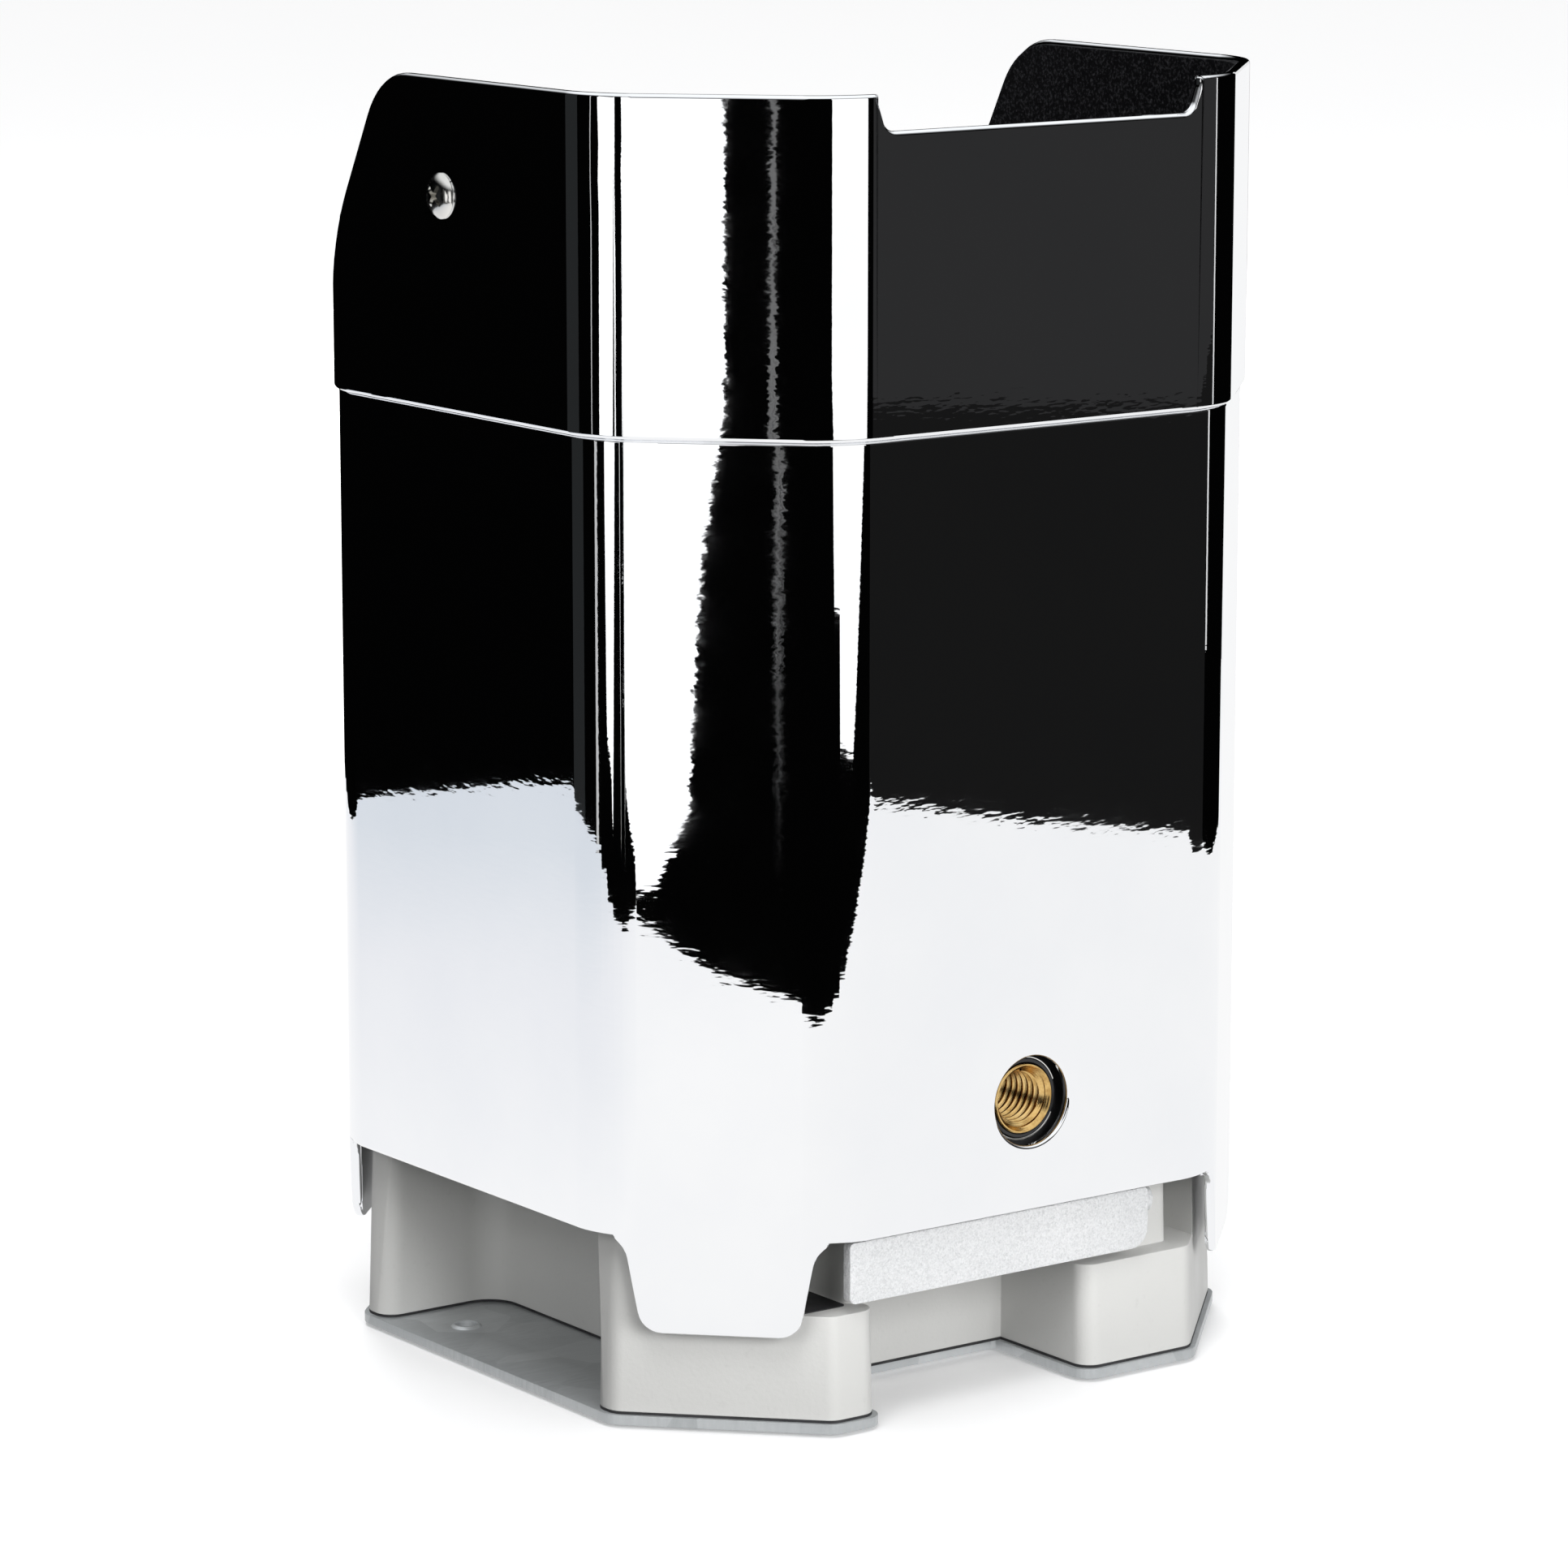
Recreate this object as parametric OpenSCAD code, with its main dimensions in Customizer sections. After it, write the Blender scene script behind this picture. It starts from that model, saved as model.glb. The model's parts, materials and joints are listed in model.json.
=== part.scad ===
// Battery uplight in a bright two-part sleeve.
// Millimetres, +Z up, origin on the floor under the middle of the light.
// Side names: front is -Y (flap and clamp thread), left is -X, right is +X, rear is +Y.

/* [Sleeve] */
// Outer width of the upper cover across its flat sides
sleeve_w = 166; // [160:1:172]
// Leg of the cut-off corner, measured along a side
corner_leg = 35; // [30:1:40]
// Radius that softens each edge of a cut-off corner of the sleeve
corner_r = 20; // [12:1:24]
// The same radius for the base and the body, before they are set in
inner_corner_r = 10; // [8:1:14]
// Sheet thickness of the sleeve
sleeve_wall = 2.2; // [1.8:0.1:2.6]
// How far the lower sleeve is set in under the upper cover
sleeve_step = 1; // [0.6:0.1:1.4]
// Height of the seam between lower sleeve and upper cover
seam_z = 199.5; // [190:0.5:205]
// Height of the side wings of the upper cover
wing_z = 266; // [250:1:280]
// Height of the low rear wall of the upper cover
rear_wall_z = 216; // [214:1:230]
// Height of the lower sleeve's bottom edge
skirt_z = 40.5; // [38:0.5:44]
// Height of the rounded tabs that hang at the four corners
tab_z = 21; // [18:0.5:26]

/* [Top edge] */
// Where the flat top of a wing would meet its sloping edge, along Y
wing_corner_y = 26.5; // [20:0.5:32]
// Fall of the sloping edge for each millimetre towards the rear
wing_slope = 1.85; // [1.5:0.05:2.2]
// Radius at the top of the sloping edge
wing_r = 16.5; // [8:0.5:20]
// Depth of the shallow notch in the front wall
notch_depth = 7.2; // [4:0.2:10]
// Half width of that notch at its bottom
notch_half = 38; // [30:1:42]

/* [Base] */
// Outer width of the base housing
base_w = 155; // [150:1:158]
// Wall thickness of the base housing
base_wall = 3; // [2.5:0.1:3.5]
// Height of the base housing's top
base_top_z = 46; // [45:0.5:48]
// Height of the ledges over the front feet
ledge_z = 24.5; // [22:0.5:26]
// Half width of the square core between the side bays
core_half = 49.4; // [46:0.2:52]
// Left edge of the front notch
notch_x0 = -34.6; // [-38:0.2:-30]
// Right edge of the front notch
notch_x1 = 18; // [14:0.5:24]
// Half width of the side bays
bay_half = 38.5; // [34:0.5:40]
// Thickness of the bottom plate
plate_t = 2; // [1.5:0.1:2.5]

/* [Front flap] */
// Left edge of the flap
flap_x0 = -43; // [-44:0.5:-41]
// Right edge of the flap
flap_x1 = 33; // [32:0.5:36]
// Height of the flap's lower edge
flap_z0 = 27; // [26:0.5:29]
// Height of the hinge axis
hinge_z = 36.5; // [36:0.1:36.8]
// Distance of the hinge axis from the middle plane
hinge_y = -75.5; // [-75.8:0.1:-75.2]
// Radius of the hinge pins
pin_r = 1.2; // [1:0.1:1.3]

/* [Clamp thread] */
// Height of the threaded insert's axis
insert_z = 63; // [58:0.5:70]
// Nominal radius of the thread
thread_r = 6; // [5:0.5:6]
// Usable depth of the thread
thread_depth = 16; // [12:0.5:18]

/* [Hidden] */
$fn = 64;
sleeve_half = sleeve_w / 2;
corner_d = (sleeve_w - corner_leg) / sqrt(2);
cover_in = sleeve_wall;
lower_in = sleeve_step + sleeve_wall;
base_in = sleeve_half - base_w / 2;
shell_in = 7.5;
shell_wall = 3;
shell_half = sleeve_half - shell_in;
shell_top_z = 205;
foot_h = 0.8;
plate_z1 = foot_h + plate_t;
gasket_t = 0.5;
housing_z0 = plate_z1 + gasket_t;
bay_top_z = 42.6;
front_wall_y = -71.8;
pocket_x = 52;
pocket_y = -54;
front_block_x0 = -38;
front_block_x1 = 45;
tray_t = 2;

// Flap and its hinge
flap_t = 2.2;
knuckle_r = 3.2;
flap_front_y = hinge_y - knuckle_r;
flap_top_z = hinge_z + 3;
pin_gap = 0.06;
ear_w = 4;
ear_gap = 0.3;
ear_r = 2.6;
knuckle_w = 4.2;
ear_left_x = -34;
ear_right_x = 26;

// Switch and socket behind the flap
switch_x = -13;
switch_z = 31.5;
switch_w = 19;
switch_h = 9;
rocker_w = 14;
rocker_h = 5;
trunnion_r = 0.8;
rocker_tilt = 7;
socket_x = 9;
socket_r = 5.5;
socket_body_r = 3.9;

// Clamp insert
insert_r = 7.2;
insert_face_y = -79.3;
insert_len = 19.3;
insert_hole_r = 9.2;
collar_r = 8.9;
block_w = 34;
block_depth = 20;

// Control panel in the right bay
panel_t = 2;
panel_w = 68;
panel_h = 28;
panel_z = 23;
window_margin_y = 3;
window_margin_z = 4;
button_r = 3.4;
button_gap = 0.3;
button_proud = 1.4;
button_flange_r = 4.1;
button_board_x = core_half - 2.4;
button_pitch = 8.8;
button_y0 = -0.5;
display_w = 25;
display_h = 15;
display_y = -18;

// Vent in the rear of the body
vent_x = 0;
vent_z = 62;

// Lead from the main board up to the light head
lead_x = 26;
lead_y = 64;
lead_r = 1.8;

// Light head
head_z = 188;
board_t = 1.6;
lens_pitch = 26;
lens_r = 20;
glass_half = 54;
glass_z0 = 206.5;
glass_t = 4;
bezel_top_z = 213;
bezel_open_half = 50;
bezel_screw_x = 64;
bezel_screw_y = 42;
holder_z0 = 202.5;
holder_z1 = 205.5;

// Screws and feet
screw_r = 1.6;
base_screw_x = 58;
base_screw_y = 44.5;
foot_x = 48;
foot_y = 56;
cover_screw_y = 4;
cover_screw_z = 242.5;
screw_head_r = 4.6;

// ---------- outlines ----------

// Centre of the rounding between the side facing angle a and the next one
function round_centre(a, da, db) =
    let (b = a + 45)
    [(da * sin(b) - db * sin(a)) / sin(45), (db * cos(a) - da * cos(b)) / sin(45)];

// Square with cut-off, softened corners, set in by inset from the upper cover's outside
function tower_outline(inset, soft = corner_r, steps = 6) =
    let (r = max(soft - inset, 2))
    [
        for (k = [0:7])
            let (
                a = k * 45,
                even = k % 2 == 0,
                da = (even ? sleeve_half : corner_d) - inset - r,
                db = (even ? corner_d : sleeve_half) - inset - r,
                c = round_centre(a, da, db)
            )
            for (i = [0:steps]) c + r * [cos(a + 45 * i / steps), sin(a + 45 * i / steps)]
    ];

function unit(v) = v / norm(v);

// Arc of radius r that rounds the corner b between the neighbours a and c
function corner_arc(a, b, c, r, steps = 6) =
    let (
        u = unit(a - b),
        v = unit(c - b),
        half = acos(u * v) / 2,
        centre = b + unit(u + v) * r / sin(half),
        s = b + u * r / tan(half) - centre,
        e = b + v * r / tan(half) - centre,
        a0 = atan2(s[1], s[0]),
        turn = atan2(e[1], e[0]) - a0,
        sweep = turn > 180 ? turn - 360 : turn < -180 ? turn + 360 : turn
    )
    [for (i = [0:steps]) centre + r * [cos(a0 + sweep * i / steps), sin(a0 + sweep * i / steps)]];

// Closed outline from [x, y, radius] corners
function rounded_path(p) =
    let (n = len(p))
    [
        for (i = [0:n - 1])
            let (
                a = [p[(i + n - 1) % n][0], p[(i + n - 1) % n][1]],
                b = [p[i][0], p[i][1]],
                c = [p[(i + 1) % n][0], p[(i + 1) % n][1]]
            )
            each (p[i][2] == 0 ? [b] : corner_arc(a, b, c, p[i][2]))
    ];

// ---------- building blocks ----------

module tower(inset, z0, z1, soft = corner_r) {
    translate([0, 0, z0])
        linear_extrude(z1 - z0)
            polygon(tower_outline(inset, soft));
}

module tower_ring(inset, wall, z0, z1) {
    difference() {
        tower(inset, z0, z1);
        tower(inset + wall, z0 - 1, z1 + 1);
    }
}

// Box given by its lowest and highest corners
module block(a, b) {
    translate(a)
        cube(b - a);
}

module cyl_x(r, x0, x1, y, z) {
    translate([x0, y, z])
        rotate([0, 90, 0])
            cylinder(h = x1 - x0, r = r);
}

module cyl_y(r, y0, y1, x, z) {
    translate([x, y0, z])
        rotate([-90, 0, 0])
            cylinder(h = y1 - y0, r = r);
}

// Profile given in Y and Z, run along X
module along_x(x0, x1, outline) {
    translate([x0, 0, 0])
        rotate([90, 0, 90])
            linear_extrude(x1 - x0)
                polygon(outline);
}

// Profile given in X and Z, run along Y
module along_y(y0, y1, outline) {
    translate([0, y1, 0])
        rotate([90, 0, 0])
            linear_extrude(y1 - y0)
                polygon(outline);
}

// One copy in each quarter of the plan
module four_places(x, y, z) {
    for (sx = [-1, 1], sy = [-1, 1])
        translate([x * sx, y * sy, z])
            children();
}

// Everything above the wings, their sloping edges and the rear wall, lowered by drop
module above_wings(drop = 0) {
    low_y = wing_corner_y + (wing_z - rear_wall_z) / wing_slope;
    along_x(-100, 100, rounded_path([
        [-120, wing_z - drop, 0],
        [wing_corner_y, wing_z - drop, wing_r],
        [low_y, rear_wall_z - drop, 12],
        [120, rear_wall_z - drop, 0],
        [120, wing_z + 20, 0],
        [-120, wing_z + 20, 0]
    ]));
}

// The shallow notch in the front wall, lowered by drop
module front_notch(drop = 0) {
    top = wing_z - drop;
    low = wing_z - notch_depth - drop;
    along_y(-100, -60, rounded_path([
        [-50, top, 0],
        [-notch_half - 2.5, top, 2.5],
        [-notch_half, low, 3.2],
        [notch_half, low, 3.2],
        [notch_half + 2.5, top, 2.5],
        [50, top, 0],
        [50, top + 20, 0],
        [-50, top + 20, 0]
    ]));
}

// Outline of a hanging corner tab, across the corner and up
function tab_outline() =
    rounded_path([
        [-30, skirt_z, 0],
        [-19.6, skirt_z, 6],
        [-15.8, tab_z, 5],
        [15.8, tab_z, 5],
        [19.6, skirt_z, 6],
        [30, skirt_z, 0],
        [30, skirt_z + 6, 0],
        [-30, skirt_z + 6, 0]
    ]);

// ---------- sleeve ----------

module upper_cover() {
    color("gainsboro")
        difference() {
            tower(0, seam_z, wing_z + 4);
            tower(cover_in, seam_z - 1, wing_z + 6);
            above_wings();
            front_notch();
            cyl_x(2.1, -90, 90, cover_screw_y, cover_screw_z);
        }
}

module lower_sleeve() {
    color("gainsboro")
        difference() {
            union() {
                tower_ring(sleeve_step, sleeve_wall, skirt_z, seam_z);
                tower_ring(cover_in + 0.1, 1.8, seam_z - 8, seam_z + 8);
                intersection() {
                    tower_ring(sleeve_step, sleeve_wall, tab_z - 4, skirt_z + 4);
                    for (a = [45:90:315])
                        rotate([0, 0, a])
                            along_x(70, 105, tab_outline());
                }
            }
            cyl_y(insert_hole_r, -90, -70, 0, insert_z);
        }
}

module glare_liner() {
    color([0.08, 0.08, 0.08])
        difference() {
            tower(cover_in, bezel_top_z, wing_z + 4);
            tower(cover_in + 1, bezel_top_z - 1, wing_z + 6);
            above_wings(1);
            front_notch(1);
            cyl_x(2.1, -90, 90, cover_screw_y, cover_screw_z);
        }
}

module cover_screws() {
    shank_in = sleeve_half - cover_in - 7;
    color("silver")
        for (s = [-1, 1])
            mirror([s < 0 ? 1 : 0, 0, 0]) {
                cyl_x(2.1, shank_in, sleeve_half + 0.5, cover_screw_y, cover_screw_z);
                cyl_x(screw_head_r, sleeve_half, sleeve_half + 1.9, cover_screw_y, cover_screw_z);
            }
}

module cover_nuts() {
    x0 = sleeve_half - cover_in - 1 - 3.2;
    color("dimgray")
        for (s = [-1, 1])
            mirror([s < 0 ? 1 : 0, 0, 0])
                difference() {
                    translate([x0, cover_screw_y, cover_screw_z])
                        rotate([0, 90, 0])
                            cylinder(h = 3.2, r = 4.04, $fn = 6);
                    cyl_x(2.1, x0 - 1, x0 + 5, cover_screw_y, cover_screw_z);
                }
}

// ---------- base ----------

// Side bays and front notch, grown by grow on every side that faces metal
module base_pockets(grow = 0) {
    for (s = [-1, 1])
        mirror([s < 0 ? 1 : 0, 0, 0])
            block([core_half - grow, -bay_half - grow, -1],
                  [100, bay_half + grow, bay_top_z + grow]);
    block([notch_x0 - grow, -100, -1], [notch_x1 + grow, -core_half + grow, ledge_z + grow]);
    block([-100, -100, ledge_z - grow], [100, front_wall_y + grow, bay_top_z + grow]);
    block([-pocket_x - grow, -100, ledge_z - grow],
          [front_block_x0 + grow, pocket_y + grow, bay_top_z + grow]);
    block([front_block_x1 - grow, -100, ledge_z - grow],
          [pocket_x + grow, pocket_y + grow, bay_top_z + grow]);
}

module base_cavity(z0, z1) {
    difference() {
        tower(base_in + base_wall, z0, z1, inner_corner_r);
        base_pockets(base_wall);
    }
}

module base_housing() {
    color([0.78, 0.78, 0.76])
        difference() {
            union() {
                difference() {
                    tower(base_in, housing_z0, base_top_z, inner_corner_r);
                    base_cavity(-2, base_top_z + 2);
                }
                four_places(base_screw_x, base_screw_y, housing_z0)
                    cylinder(h = 18, r = 4);
            }
            base_pockets();
            four_places(base_screw_x, base_screw_y, 0)
                cylinder(h = 14, r = screw_r);
            block([switch_x - 8, front_wall_y - 1, switch_z - 3.6],
                  [switch_x + 8, front_wall_y + 5, switch_z + 3.6]);
            cyl_y(socket_body_r, front_wall_y - 1, front_wall_y + 5, socket_x, switch_z);
            block([core_half - 5, -panel_w / 2 + window_margin_y,
                   panel_z - panel_h / 2 + window_margin_z],
                  [core_half + 1, panel_w / 2 - window_margin_y,
                   panel_z + panel_h / 2 - window_margin_z]);
        }
}

module base_gasket() {
    color([0.15, 0.15, 0.15])
        difference() {
            tower(base_in, plate_z1, housing_z0, inner_corner_r);
            base_pockets();
            base_cavity(-2, ledge_z - 6);
        }
}

module bottom_plate() {
    color([0.72, 0.74, 0.75])
        difference() {
            tower(base_in - 1, foot_h, plate_z1, inner_corner_r);
            block([notch_x0 + 1, -100, -1], [notch_x1 - 1, -core_half + 1, 10]);
            for (s = [-1, 1])
                translate([66.5 * s, 24.5, -1])
                    cylinder(h = 10, r = 2.2);
            four_places(base_screw_x, base_screw_y, -1)
                cylinder(h = 10, r = screw_r);
        }
}

module bottom_screws() {
    color("silver")
        four_places(base_screw_x, base_screw_y, foot_h - 0.6) {
            cylinder(h = 0.6, r = 3);
            cylinder(h = 12, r = screw_r);
        }
}

module rubber_feet() {
    color([0.1, 0.1, 0.1])
        four_places(foot_x, foot_y, 0)
            cylinder(h = foot_h, r = 9);
}

// ---------- body and clamp thread ----------

module body_shell() {
    color([0.35, 0.35, 0.36])
        difference() {
            tower(shell_in, base_top_z, shell_top_z, inner_corner_r);
            tower(shell_in + shell_wall, base_top_z - 1, shell_top_z + 1, inner_corner_r);
            cyl_y(insert_r, -shell_half - 1, -shell_half + 6, 0, insert_z);
            cyl_y(5, shell_half - 6, shell_half + 1, vent_x, vent_z);
        }
}

module thread_block() {
    y0 = -shell_half + shell_wall;
    color([0.6, 0.6, 0.62])
        difference() {
            block([-block_w / 2, y0, insert_z - block_w / 2 + 2],
                  [block_w / 2, y0 + block_depth, insert_z + block_w / 2]);
            cyl_y(insert_r, y0 - 1, insert_face_y + insert_len, 0, insert_z);
        }
}

module brass_insert() {
    color([0.72, 0.55, 0.25])
        difference() {
            cyl_y(insert_r, insert_face_y, insert_face_y + insert_len, 0, insert_z);
            cyl_y(thread_r, insert_face_y - 1, insert_face_y + thread_depth, 0, insert_z);
        }
}

module insert_collar() {
    color([0.05, 0.05, 0.05])
        difference() {
            cyl_y(collar_r, insert_face_y + 0.4, -shell_half, 0, insert_z);
            cyl_y(insert_r, insert_face_y - 1, -shell_half + 1, 0, insert_z);
        }
}

// ---------- flap ----------

module hinge_ears() {
    color([0.6, 0.6, 0.6])
        for (x = [ear_left_x, ear_right_x])
            difference() {
                union() {
                    block([x, hinge_y, hinge_z - ear_r], [x + ear_w, front_wall_y, hinge_z + ear_r]);
                    cyl_x(ear_r, x, x + ear_w, hinge_y, hinge_z);
                }
                cyl_x(pin_r, x - 1, x + ear_w + 1, hinge_y, hinge_z);
            }
}

module hinge_pins() {
    color("silver")
        for (x = [ear_left_x, ear_right_x])
            cyl_x(pin_r, x - ear_gap - knuckle_w, x + ear_w + ear_gap + knuckle_w, hinge_y, hinge_z);
}

module front_flap() {
    bore = pin_r + pin_gap;
    color([0.8, 0.81, 0.82])
        difference() {
            union() {
                along_y(flap_front_y, flap_front_y + flap_t, rounded_path([
                    [flap_x0, flap_z0, 1.5],
                    [flap_x1, flap_z0, 4],
                    [flap_x1, flap_top_z, 1],
                    [flap_x0, flap_top_z, 1]
                ]));
                for (x = [ear_left_x, ear_right_x])
                    for (k = [x - ear_gap - knuckle_w, x + ear_w + ear_gap])
                        knuckle(k);
            }
            for (x = [ear_left_x, ear_right_x]) {
                cyl_x(bore, x - 6, x + ear_w + 6, hinge_y, hinge_z);
                block([x - ear_gap, hinge_y - ear_r - ear_gap, hinge_z - knuckle_r - 0.2],
                      [x + ear_w + ear_gap, hinge_y + 5, hinge_z + knuckle_r + 0.2]);
            }
        }
}

// One barrel of the flap, starting at x, with a web down the back of the plate
module knuckle(x) {
    cyl_x(knuckle_r - 0.2, x, x + knuckle_w, hinge_y, hinge_z);
    block([x, flap_front_y + flap_t - 0.5, hinge_z - 5], [x + knuckle_w, hinge_y + 1, hinge_z]);
}

module switch_frame() {
    color([0.08, 0.08, 0.08])
        difference() {
            union() {
                block([switch_x - switch_w / 2, front_wall_y - 1, switch_z - switch_h / 2],
                      [switch_x + switch_w / 2, front_wall_y, switch_z + switch_h / 2]);
                block([switch_x - 8, front_wall_y - 0.5, switch_z - 3.6],
                      [switch_x + 8, front_wall_y + 9, switch_z + 3.6]);
            }
            block([switch_x - rocker_w / 2 - 0.3, front_wall_y - 2, switch_z - rocker_h / 2 - 0.3],
                  [switch_x + rocker_w / 2 + 0.3, front_wall_y + 5.5, switch_z + rocker_h / 2 + 0.3]);
            translate([switch_x, front_wall_y + 2.5, switch_z - rocker_h / 2 - 0.7])
                cylinder(h = rocker_h + 1.4, r = trunnion_r + pin_gap);
        }
}

// Rocker that tips about an upright axis, at rest tipped to its off side
module power_rocker() {
    color([0.6, 0.07, 0.07]) {
        translate([switch_x, front_wall_y + 2.5, switch_z - rocker_h / 2 - 0.6])
            cylinder(h = rocker_h + 1.2, r = trunnion_r);
        translate([switch_x, front_wall_y + 2.5, switch_z - rocker_h / 2])
            rotate([0, 0, rocker_tilt])
                linear_extrude(rocker_h)
                    polygon([
                        [-rocker_w / 2 + 0.8, -2.6],
                        [0, -3.4],
                        [rocker_w / 2 - 0.8, -2.6],
                        [rocker_w / 2 - 1.2, 0.6],
                        [1.5, 2],
                        [-1.5, 2],
                        [-rocker_w / 2 + 1.2, 0.6]
                    ]);
    }
}

module charge_socket() {
    color([0.12, 0.12, 0.12]) {
        difference() {
            union() {
                cyl_y(socket_r, front_wall_y - 1, front_wall_y, socket_x, switch_z);
                cyl_y(socket_body_r, front_wall_y - 0.5, front_wall_y + 12, socket_x, switch_z);
            }
            cyl_y(2.75, front_wall_y - 2, front_wall_y + 9, socket_x, switch_z);
        }
        cyl_y(1, front_wall_y, front_wall_y + 9.5, socket_x, switch_z);
    }
}

// ---------- control panel ----------

function button_y(i) = button_y0 + i * button_pitch;

module control_panel() {
    x0 = core_half;
    color([0.1, 0.1, 0.11])
        difference() {
            block([x0, -panel_w / 2, panel_z - panel_h / 2],
                  [x0 + panel_t, panel_w / 2, panel_z + panel_h / 2]);
            block([x0 - 1, display_y - display_w / 2, panel_z - display_h / 2],
                  [x0 + panel_t + 1, display_y + display_w / 2, panel_z + display_h / 2]);
            for (i = [0:3])
                cyl_x(button_r + button_gap, x0 - 1, x0 + panel_t + 1, button_y(i), panel_z);
        }
}

module display_window() {
    color([0.15, 0.2, 0.25])
        block([core_half, display_y - display_w / 2, panel_z - display_h / 2],
              [core_half + panel_t - 0.4, display_y + display_w / 2, panel_z + display_h / 2]);
}

module button_board() {
    x1 = button_board_x;
    color([0.05, 0.35, 0.15]) {
        block([x1 - board_t, -30, panel_z - 9.5], [x1, 30, panel_z + 9.5]);
        block([x1 - 0.5, display_y - 11, panel_z - 6], [core_half, display_y + 8.5, panel_z + 6]);
    }
}

module menu_button(i) {
    color([0.75, 0.75, 0.75]) {
        cyl_x(button_r, core_half - 0.5, core_half + panel_t + button_proud, button_y(i), panel_z);
        cyl_x(button_flange_r, core_half - 1, core_half - 0.3, button_y(i), panel_z);
        cyl_x(1.2, core_half - 1.4, core_half - 0.8, button_y(i), panel_z);
    }
}

module button_mode() {
    menu_button(0);
}

module button_up() {
    menu_button(1);
}

module button_down() {
    menu_button(2);
}

module button_enter() {
    menu_button(3);
}

// ---------- battery and electronics ----------

module battery_tray() {
    color([0.65, 0.66, 0.67])
        tower(shell_in + shell_wall, base_top_z, base_top_z + tray_t, inner_corner_r);
}

module battery_pack() {
    color([0.15, 0.3, 0.6])
        block([-52, -38, base_top_z + tray_t], [52, 34, base_top_z + tray_t + 70]);
}

module battery_strap() {
    z0 = base_top_z + tray_t;
    color([0.7, 0.7, 0.7])
        difference() {
            block([-56, -10, z0], [56, 10, z0 + 72]);
            block([-52, -11, z0 - 1], [52, 11, z0 + 70]);
        }
}

module main_board() {
    color([0.05, 0.35, 0.15]) {
        block([-42, 60, 54], [42, 60 + board_t, 134]);
        block([-30, 54, 66], [-12, 60.1, 84]);
        block([4, 56, 92], [30, 60.1, 104]);
    }
}

module board_standoffs() {
    color("goldenrod")
        for (x = [-36, 36], z = [60, 128])
            cyl_y(2.5, 60 + board_t, shell_half - shell_wall, x, z);
}

module radio_module() {
    color([0.7, 0.7, 0.72])
        block([-10, 55, 112], [14, 60, 128]);
}

module antenna() {
    color([0.1, 0.1, 0.1])
        translate([2, 57, 128])
            cylinder(h = 42, r = 1.6);
}

module led_lead() {
    z1 = head_z + board_t + 1.8;
    color([0.5, 0.1, 0.1]) {
        block([lead_x - 4, 60 + board_t, 122], [lead_x + 4, lead_y + 3, 132]);
        translate([lead_x, lead_y, 130])
            cylinder(h = z1 - 130, r = lead_r);
        cyl_y(lead_r, 54, lead_y, lead_x, z1);
        translate([lead_x, lead_y, z1])
            sphere(lead_r);
    }
}

// ---------- light head ----------

module heat_sink() {
    color([0.72, 0.73, 0.75])
        difference() {
            union() {
                tower(shell_in + shell_wall, head_z - 8, head_z, inner_corner_r);
                for (x = [-54:9:54])
                    block([x - 1, -56, head_z - 38], [x + 1, 50, head_z - 7]);
            }
            translate([lead_x, lead_y, head_z - 20])
                cylinder(h = 40, r = lead_r + 0.6);
        }
}

module led_board() {
    color([0.9, 0.9, 0.88])
        block([-56, -56, head_z], [56, 56, head_z + board_t]);
}

module led_emitters() {
    color([0.95, 0.85, 0.4])
        four_places(lens_pitch, lens_pitch, head_z + board_t)
            translate([-4, -4, 0])
                cube([8, 8, 2.2]);
}

module lenses() {
    z0 = head_z + board_t + 2.2;
    color([0.85, 0.9, 0.95])
        four_places(lens_pitch, lens_pitch, z0)
            rotate_extrude()
                polygon([[0, 0], [8, 0], [lens_r - 1, holder_z1 - z0 - 2], [lens_r - 1, holder_z1 - z0],
                         [0, holder_z1 - z0]]);
}

module lens_holder() {
    color([0.08, 0.08, 0.08])
        difference() {
            union() {
                tower(shell_in + shell_wall, holder_z0, holder_z1, inner_corner_r);
                for (x = [-60, 60])
                    translate([x, 0, head_z])
                        cylinder(h = holder_z1 - head_z - 1, r = 4);
            }
            four_places(lens_pitch, lens_pitch, holder_z0 - 1)
                cylinder(h = 10, r = lens_r - 1);
            four_places(bezel_screw_x, bezel_screw_y, holder_z0 - 1)
                cylinder(h = 10, r = screw_r);
        }
}

module glass_gasket() {
    color([0.05, 0.05, 0.05])
        difference() {
            block([-glass_half, -glass_half, holder_z1], [glass_half, glass_half, glass_z0]);
            block([-glass_half + 5, -glass_half + 5, holder_z1 - 1],
                  [glass_half - 5, glass_half - 5, glass_z0 + 1]);
        }
}

module front_glass() {
    color([0.75, 0.85, 0.9, 0.5])
        block([-glass_half, -glass_half, glass_z0], [glass_half, glass_half, glass_z0 + glass_t]);
}

module top_bezel() {
    color([0.1, 0.1, 0.1])
        difference() {
            tower(shell_in, shell_top_z, bezel_top_z, inner_corner_r);
            block([-glass_half, -glass_half, shell_top_z - 1],
                  [glass_half, glass_half, glass_z0 + glass_t]);
            block([-bezel_open_half, -bezel_open_half, glass_z0],
                  [bezel_open_half, bezel_open_half, bezel_top_z + 1]);
            tower(shell_in + shell_wall, shell_top_z - 1, holder_z1, inner_corner_r);
            four_places(bezel_screw_x, bezel_screw_y, shell_top_z - 1)
                cylinder(h = 20, r = screw_r);
        }
}

module bezel_screws() {
    color("silver")
        four_places(bezel_screw_x, bezel_screw_y, holder_z0) {
            cylinder(h = bezel_top_z - holder_z0, r = screw_r);
            translate([0, 0, bezel_top_z - holder_z0])
                cylinder(h = 1.8, r = 3);
        }
}

// ---------- between body and sleeve ----------

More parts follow.
